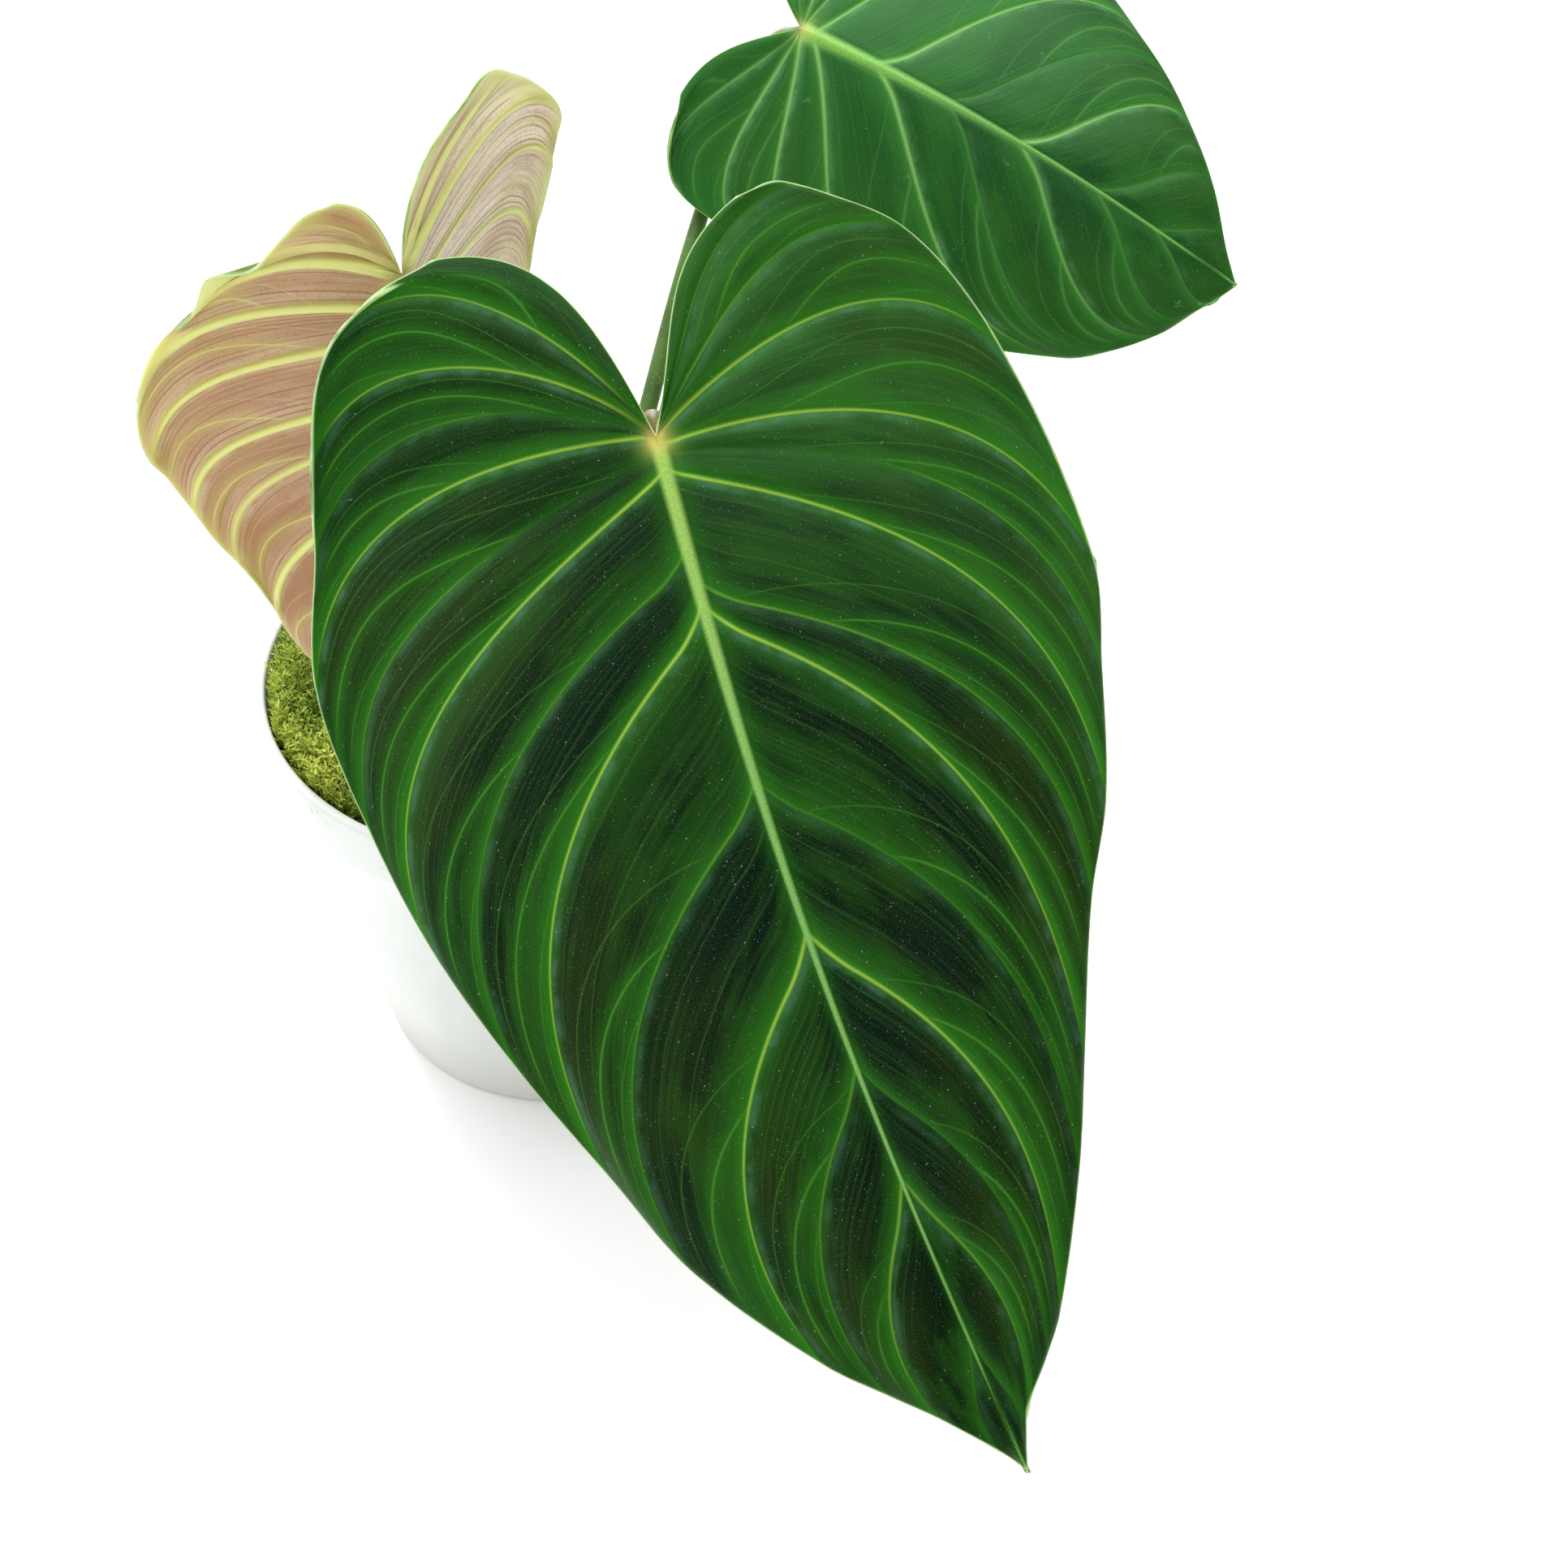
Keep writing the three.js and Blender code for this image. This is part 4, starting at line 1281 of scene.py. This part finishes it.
def pot_piece(finish):
    """The pot, spun from its outline, with its drainage holes cut."""
    band_foot = POT_HEIGHT - POT_BAND
    rim_inside = POT_RIM - POT_WALL
    corners = [
        ((0, 0), 0),
        ((POT_FOOT - 6, 0), 0.3),
        ((POT_FOOT - 5, 0.8), 0.3),
        ((POT_FOOT - 3, 0.8), 0.3),
        ((POT_FOOT - 2.4, 0), 0.3),
        ((POT_FOOT, 0), 1.0),
        ((POT_RIM - POT_STEP, band_foot - 0.9), 0.4),
        ((POT_RIM, band_foot), 0.9),
        ((POT_RIM, POT_HEIGHT), 1.1),
        ((rim_inside, POT_HEIGHT), 0.9),
        ((rim_inside, band_foot), 1.0),
        ((rim_inside - POT_STEP, band_foot - 1.5 * POT_STEP), 1.0),
        ((POT_FOOT - POT_WALL, POT_FLOOR), 1.2),
        ((0, POT_FLOOR), 0),
    ]
    outline = [Vector(corners[0][0])]
    for (before, _), (corner, radius), (after, _) in zip(corners, corners[1:], corners[2:]):
        outline += round_corner(before, corner, after, radius)
    outline.append(Vector(corners[-1][0]))
    bm = bmesh.new()
    chain = [bm.verts.new((p.x * MM, 0, p.y * MM)) for p in outline]
    for a, b in zip(chain, chain[1:]):
        bm.edges.new((a, b))
    bmesh.ops.spin(
        bm, geom=bm.verts[:] + bm.edges[:], cent=(0, 0, 0), axis=(0, 0, 1), angle=math.tau,
        steps=144, use_merge=True, use_duplicate=False,
    )
    bmesh.ops.remove_doubles(bm, verts=bm.verts, dist=0.01 * MM)
    bmesh.ops.recalc_face_normals(bm, faces=bm.faces)
    pot = to_object(bm, "pot_body", [finish])
    cutter_bm = bmesh.new()
    for i in range(POT_HOLES):
        angle = math.tau * i / POT_HOLES
        spot = Vector((math.cos(angle), math.sin(angle), 0)) * POT_HOLE_CIRCLE * MM
        bmesh.ops.create_cone(
            cutter_bm, cap_ends=True, segments=40, radius1=POT_HOLE * MM, radius2=POT_HOLE * MM,
            depth=12 * MM, matrix=Matrix.Translation(spot),
        )
    cutter = to_object(cutter_bm, "hole_cutter", [])
    cut = pot.modifiers.new("holes", "BOOLEAN")
    cut.object = cutter
    cut.operation = "DIFFERENCE"
    cut.solver = "EXACT"
    bpy.context.view_layer.update()
    cut_mesh = bpy.data.meshes.new_from_object(pot.evaluated_get(bpy.context.evaluated_depsgraph_get()))
    pot.modifiers.clear()
    pot.data = cut_mesh
    bpy.data.objects.remove(cutter)
    cut_mesh.set_sharp_from_angle(angle=math.radians(40))
    settle(pot, "pot_plastic", "pot")


def pot_finish():
    """Off-white moulded plastic: faint orange peel, dusty low down, a few scuffs and soil smears."""
    f = Finish("pot plastic")
    place = f.place()
    _, _, z = place.xyz()
    peel = f.noise(place, 900, 2, 0.5)
    cloud = f.noise(place, 22, 3, 0.55)
    scuff = f.noise(f.stretch(place, (1, 1, 5)), 60, 4, 0.7).rise(0.62, 0.75)
    colour = f.mix(cloud.rise(0.3, 0.7), srgb(196, 200, 196), srgb(208, 211, 207))
    colour = f.mix(z.rise(0.03, 0.0) * cloud * 0.5, colour, srgb(176, 166, 148))
    inside_dirt = z.rise(0.085, 0.1) * f.noise(place, 240, 3, 0.7).rise(0.62, 0.72)
    colour = f.mix(inside_dirt * 0.55, colour, srgb(96, 74, 52))
    colour = f.mix(scuff * 0.25, colour, srgb(190, 190, 186))
    roughness = 0.34 + cloud * 0.12 + scuff * 0.2
    normal = f.bump(peel * 0.5 + scuff * 0.5, 0.12 * MM, 0.5)
    return f.done(f.glaze(colour, roughness, normal, Specular_IOR_Level=0.5))


def soil_finish():
    """Dark peat with paler grains of bark and grit."""
    f = Finish("potting soil")
    place = f.place()
    crumb = f.cells(place, 420)
    grain = f.noise(place, 700, 4, 0.7)
    chip = f.cells(place, 160, "Color").xyz()[0]
    colour = f.mix(grain.rise(0.3, 0.7), srgb(38, 27, 19), srgb(74, 54, 37))
    colour = f.mix(chip.over(0.86) * 0.7, colour, srgb(128, 98, 66))
    normal = f.bump(crumb * -1 + grain * 0.6, 1.2 * MM, 1.0)
    return f.done(f.glaze(colour, 0.95, normal))


# Moss

MOSS_EDGE_TOP = 98
MOSS_CROWN = 106
MOSS_LUMPS = 2.2
MOSS_BLEND = 4
MOSS_PIECES = 4
MOSS_SHOOTS = 11200
MOSS_FOOT = 88.4
MOSS_BED_LOW = 1.6
MOSS_SHOOT_LOW = 1.4
MOSS_EDGE = POT_RIM - POT_WALL - 0.6
SPRIG_KINDS = 4
SPRIG_LEAVES = 9


def moss_top(x, y):
    """Height of the moss cushion in mm."""
    edge = POT_RIM - POT_WALL - 1
    inwards = min(max(1 - math.hypot(x, y) / edge, 0), 1)
    rise = math.sin(math.pi / 2 * math.sqrt(inwards))
    z = lerp(MOSS_EDGE_TOP - MOSS_BLEND + 1, MOSS_CROWN, rise)
    lump = math.sin(0.23 * x + 1.3 * math.sin(0.11 * y)) * math.cos(0.21 * y + 1.1 * math.sin(0.13 * x))
    return z + MOSS_LUMPS * lump * smooth(MOSS_EDGE_TOP - MOSS_BLEND, MOSS_EDGE_TOP + MOSS_BLEND, z)


def moss_bed(finish):
    """The matted body of the moss, which its shoots stand out of."""
    bm = bmesh.new()
    rings = 44
    bmesh.ops.create_circle(bm, cap_ends=False, segments=120, radius=MOSS_EDGE * MM)
    rim = bm.edges[:]
    low = bmesh.ops.extrude_edge_only(bm, edges=rim)
    low_verts = [g for g in low["geom"] if isinstance(g, bmesh.types.BMVert)]
    for v in low_verts:
        v.co.z = MOSS_FOOT * MM
    bmesh.ops.contextual_create(bm, geom=[g for g in low["geom"] if isinstance(g, bmesh.types.BMEdge)])
    ring = rim
    for i in range(1, rings):
        step = bmesh.ops.extrude_edge_only(bm, edges=ring)
        scale = (1 - i / rings) / (1 - (i - 1) / rings)
        for v in (g for g in step["geom"] if isinstance(g, bmesh.types.BMVert)):
            v.co.x *= scale
            v.co.y *= scale
        ring = [g for g in step["geom"] if isinstance(g, bmesh.types.BMEdge)]
    bmesh.ops.contextual_create(bm, geom=ring)
    for v in bm.verts:
        if v.co.z > 0:
            continue
        x, y = v.co.x / MM, v.co.y / MM
        rough = noise.noise(Vector((x, y, 0)) * 0.55) * 0.9 + noise.noise(Vector((x, y, 5)) * 0.2) * 1.2
        v.co.z = (moss_top(x, y) - MOSS_BED_LOW + rough) * MM
    settle_solid(bm, "moss_bed", finish, "moss", "moss")


def moss_sprig(seed):
    """One feathery shoot of moss, 1 long, growing along +Z: a thin stem with small leaves set round it in a
    spiral.
    """
    rnd = random.Random(seed)
    bm = bmesh.new()
    bmesh.ops.create_cone(
        bm, cap_ends=False, segments=3, radius1=0.035, radius2=0.012, depth=1.0,
        matrix=Matrix.Translation((0, 0, 0.5)),
    )
    for i in range(SPRIG_LEAVES):
        height = 0.16 + 0.84 * i / (SPRIG_LEAVES - 1)
        turn = 2.4 * i + rnd.uniform(-0.3, 0.3)
        reach = lerp(0.34, 0.18, height) * rnd.uniform(0.8, 1.15)
        blade = bmesh.ops.create_grid(bm, x_segments=2, y_segments=1, size=0.5)["verts"]
        for v in blade:
            along = v.co.x + 0.5
            width = 0.34 * math.sin(math.pi * min(along * 0.9 + 0.1, 1))
            lift = along * rnd.uniform(0.5, 0.6) + 0.25 * along**2
            v.co = Matrix.Rotation(turn, 3, "Z") @ (Vector((along, v.co.y * width, lift)) * reach)
            v.co.z += height
    mesh = bpy.data.meshes.new("sprig")
    bm.to_mesh(mesh)
    bm.free()
    return mesh


def moss_shoots(name, count, seed, finish):
    """Shoots of moss scattered over the cushion, leaning every way, thicker in tufts."""
    rnd = random.Random(seed)
    sprigs = [moss_sprig(seed * 10 + i) for i in range(SPRIG_KINDS)]
    bm = bmesh.new()
    bm.verts.layers.float.new("tint")
    placed = 0
    while placed < count:
        radius = MOSS_EDGE * math.sqrt(rnd.random())
        angle = rnd.uniform(0, math.tau)
        x, y = radius * math.cos(angle), radius * math.sin(angle)
        if math.hypot(x - STEM_FOOT.x, y - STEM_FOOT.y) < STEM_RADIUS + 1.2:
            continue
        tuft = noise.noise(Vector((x, y, 3)) * 0.09)
        length = (4.2 + 2.4 * rnd.random() + 3.2 * tuft) * MM
        at_edge = smooth(0.84, 0.98, radius / POT_RIM)
        lean = rnd.uniform(0.1, lerp(1.0, 0.4, at_edge))
        inwards = math.atan2(-y, -x) + math.pi / 2
        heading = inwards + rnd.uniform(-math.pi, math.pi) * (1 - 0.6 * at_edge)
        turn = Matrix.Rotation(heading, 4, "Z") @ Matrix.Rotation(lean, 4, "X")
        raised = 2.5 * at_edge * (0.5 + tuft)
        base = Vector((x, y, moss_top(x, y) - MOSS_SHOOT_LOW + raised)) * MM
        place = Matrix.Translation(base) @ turn @ Matrix.Rotation(rnd.uniform(0, 6), 4, "Z")
        copy = rnd.choice(sprigs).copy()
        copy.transform(place @ Matrix.Scale(length, 4))
        shade = copy.attributes.new("tint", "FLOAT", "POINT")
        value = min(max(0.5 + 0.9 * tuft + rnd.uniform(-0.3, 0.3), 0), 1)
        shade.data.foreach_set("value", [value] * len(copy.vertices))
        bm.from_mesh(copy)
        bpy.data.meshes.remove(copy)
        placed += 1
    for sprig in sprigs:
        bpy.data.meshes.remove(sprig)
    settle(to_object(bm, name, [finish]), "moss")


def moss_finish(name, bed):
    """Yellow-green tips over olive and brown depths."""
    f = Finish(name)
    place = f.place()
    grain = f.noise(place, 500, 2, 0.6)
    patch = f.noise(place, 45, 3, 0.6)
    if bed:
        colour = f.mix(grain.rise(0.35, 0.65), srgb(40, 42, 12), srgb(78, 92, 26))
        colour = f.mix(patch.rise(0.5, 0.7) * 0.6, colour, srgb(92, 66, 34))
        normal = f.bump(grain, 1.5 * MM, 1.0)
        return f.done(f.glaze(colour, 0.95, normal))
    tint = f.attribute("tint")
    colour = f.mix(tint.rise(0.1, 0.9), srgb(96, 136, 28), srgb(196, 204, 84))
    colour = f.mix(patch.rise(0.56, 0.72) * 0.5, colour, srgb(172, 142, 74))
    colour = f.mix(grain.rise(0.4, 0.7) * 0.3, colour, srgb(64, 104, 14))
    skin = f.glaze(colour, 0.7)
    through = f.node("BsdfTranslucent", {}, {"Color": srgb(176, 200, 70)})
    return f.done(f.node("MixShader", {}, {0: 0.25, 1: skin, 2: through}))


# The object

BLADES = [
    ("blade_front", FRONT_LEAF, 22, 108, "dark_blade", DARK_UPPER, LEAF_UNDERSIDE),
    ("blade_right", RIGHT_LEAF, 22, 96, "green_blade", GREEN_UPPER, LEAF_UNDERSIDE),
    ("blade_left", LEFT_LEAF, 22, 96, "young_blade", YOUNG_UPPER, YOUNG_UNDERSIDE),
]
for name, leaf, rows, columns, slot, upper, lower in BLADES:
    finishes = [
        blade_finish(name + " upper", leaf, upper),
        blade_finish(name + " underside", leaf, lower),
        rim_finish(name + " rim", upper["edge"], upper["glow_colour"]),
    ]
    settle(blade_piece(name + "_skin", leaf, rows, columns, finishes), slot, name)

stalk_skin = stalk_finish()
for (name, stalk), leaf in zip(STALKS.items(), (FRONT_LEAF, RIGHT_LEAF, LEFT_LEAF)):
    stalk_piece(name + "_skin", name, stalk, leaf, stalk_skin)

stem_piece(stem_finish())
shoot_piece(shoot_finish())
pot_piece(pot_finish())
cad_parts["soil"].data.materials.clear()
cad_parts["soil"].data.materials.append(soil_finish())
moss_bed(moss_finish("moss bed", True))
moss_skin = moss_finish("moss shoots", False)
for part in range(MOSS_PIECES):
    moss_shoots(f"moss_shoots_{part + 1}", MOSS_SHOOTS // MOSS_PIECES, part + 1, moss_skin)

# Floor and light


FLOOR_HALF = 4
WORLD_STRENGTH = 0.6
LIGHTS = [
    ("overhead", (-0.1, 0.25, 1.3), (0.04, -0.05, 0.15), 1.1, 18),
    ("left", (-1.2, 0.1, 0.8), (0.03, -0.05, 0.15), 0.9, 6),
    ("behind", (-0.4, 1.2, 0.45), (0.0, -0.05, 0.18), 0.9, 18),
    ("low", (-0.5, -1.3, 0.25), (0.0, -0.05, 0.18), 0.9, 6),
]


def floor_piece():
    """The pale floor under the pot, which is part of the studio."""
    bm = bmesh.new()
    bmesh.ops.create_grid(bm, x_segments=1, y_segments=1, size=FLOOR_HALF)
    f = Finish("pale floor")
    patch = f.noise(f.place(), 3, 2)
    colour = f.mix(patch, srgb(246, 247, 248), srgb(250, 250, 250))
    floor = to_object(bm, "floor", [f.done(f.glaze(colour, 0.9))])


def soft_light(name, place, target, size, power):
    """A square softbox, itself left out of the picture."""
    data = bpy.data.lights.new(name, "AREA")
    data.shape = "SQUARE"
    data.size = size
    data.energy = power
    light = bpy.data.objects.new(name, data)
    light.location = place
    light.rotation_euler = (Vector(target) - Vector(place)).to_track_quat("-Z", "Y").to_euler()
    light.visible_camera = False
    bpy.context.scene.collection.objects.link(light)


floor_piece()
for light in LIGHTS:
    soft_light(*light)

world = bpy.data.worlds.new("studio")
world.use_nodes = True
background = world.node_tree.nodes["Background"]
background.inputs["Color"].default_value = (1, 1, 1, 1)
background.inputs["Strength"].default_value = WORLD_STRENGTH
bpy.context.scene.world = world
bpy.context.scene.view_settings.view_transform = "Standard"
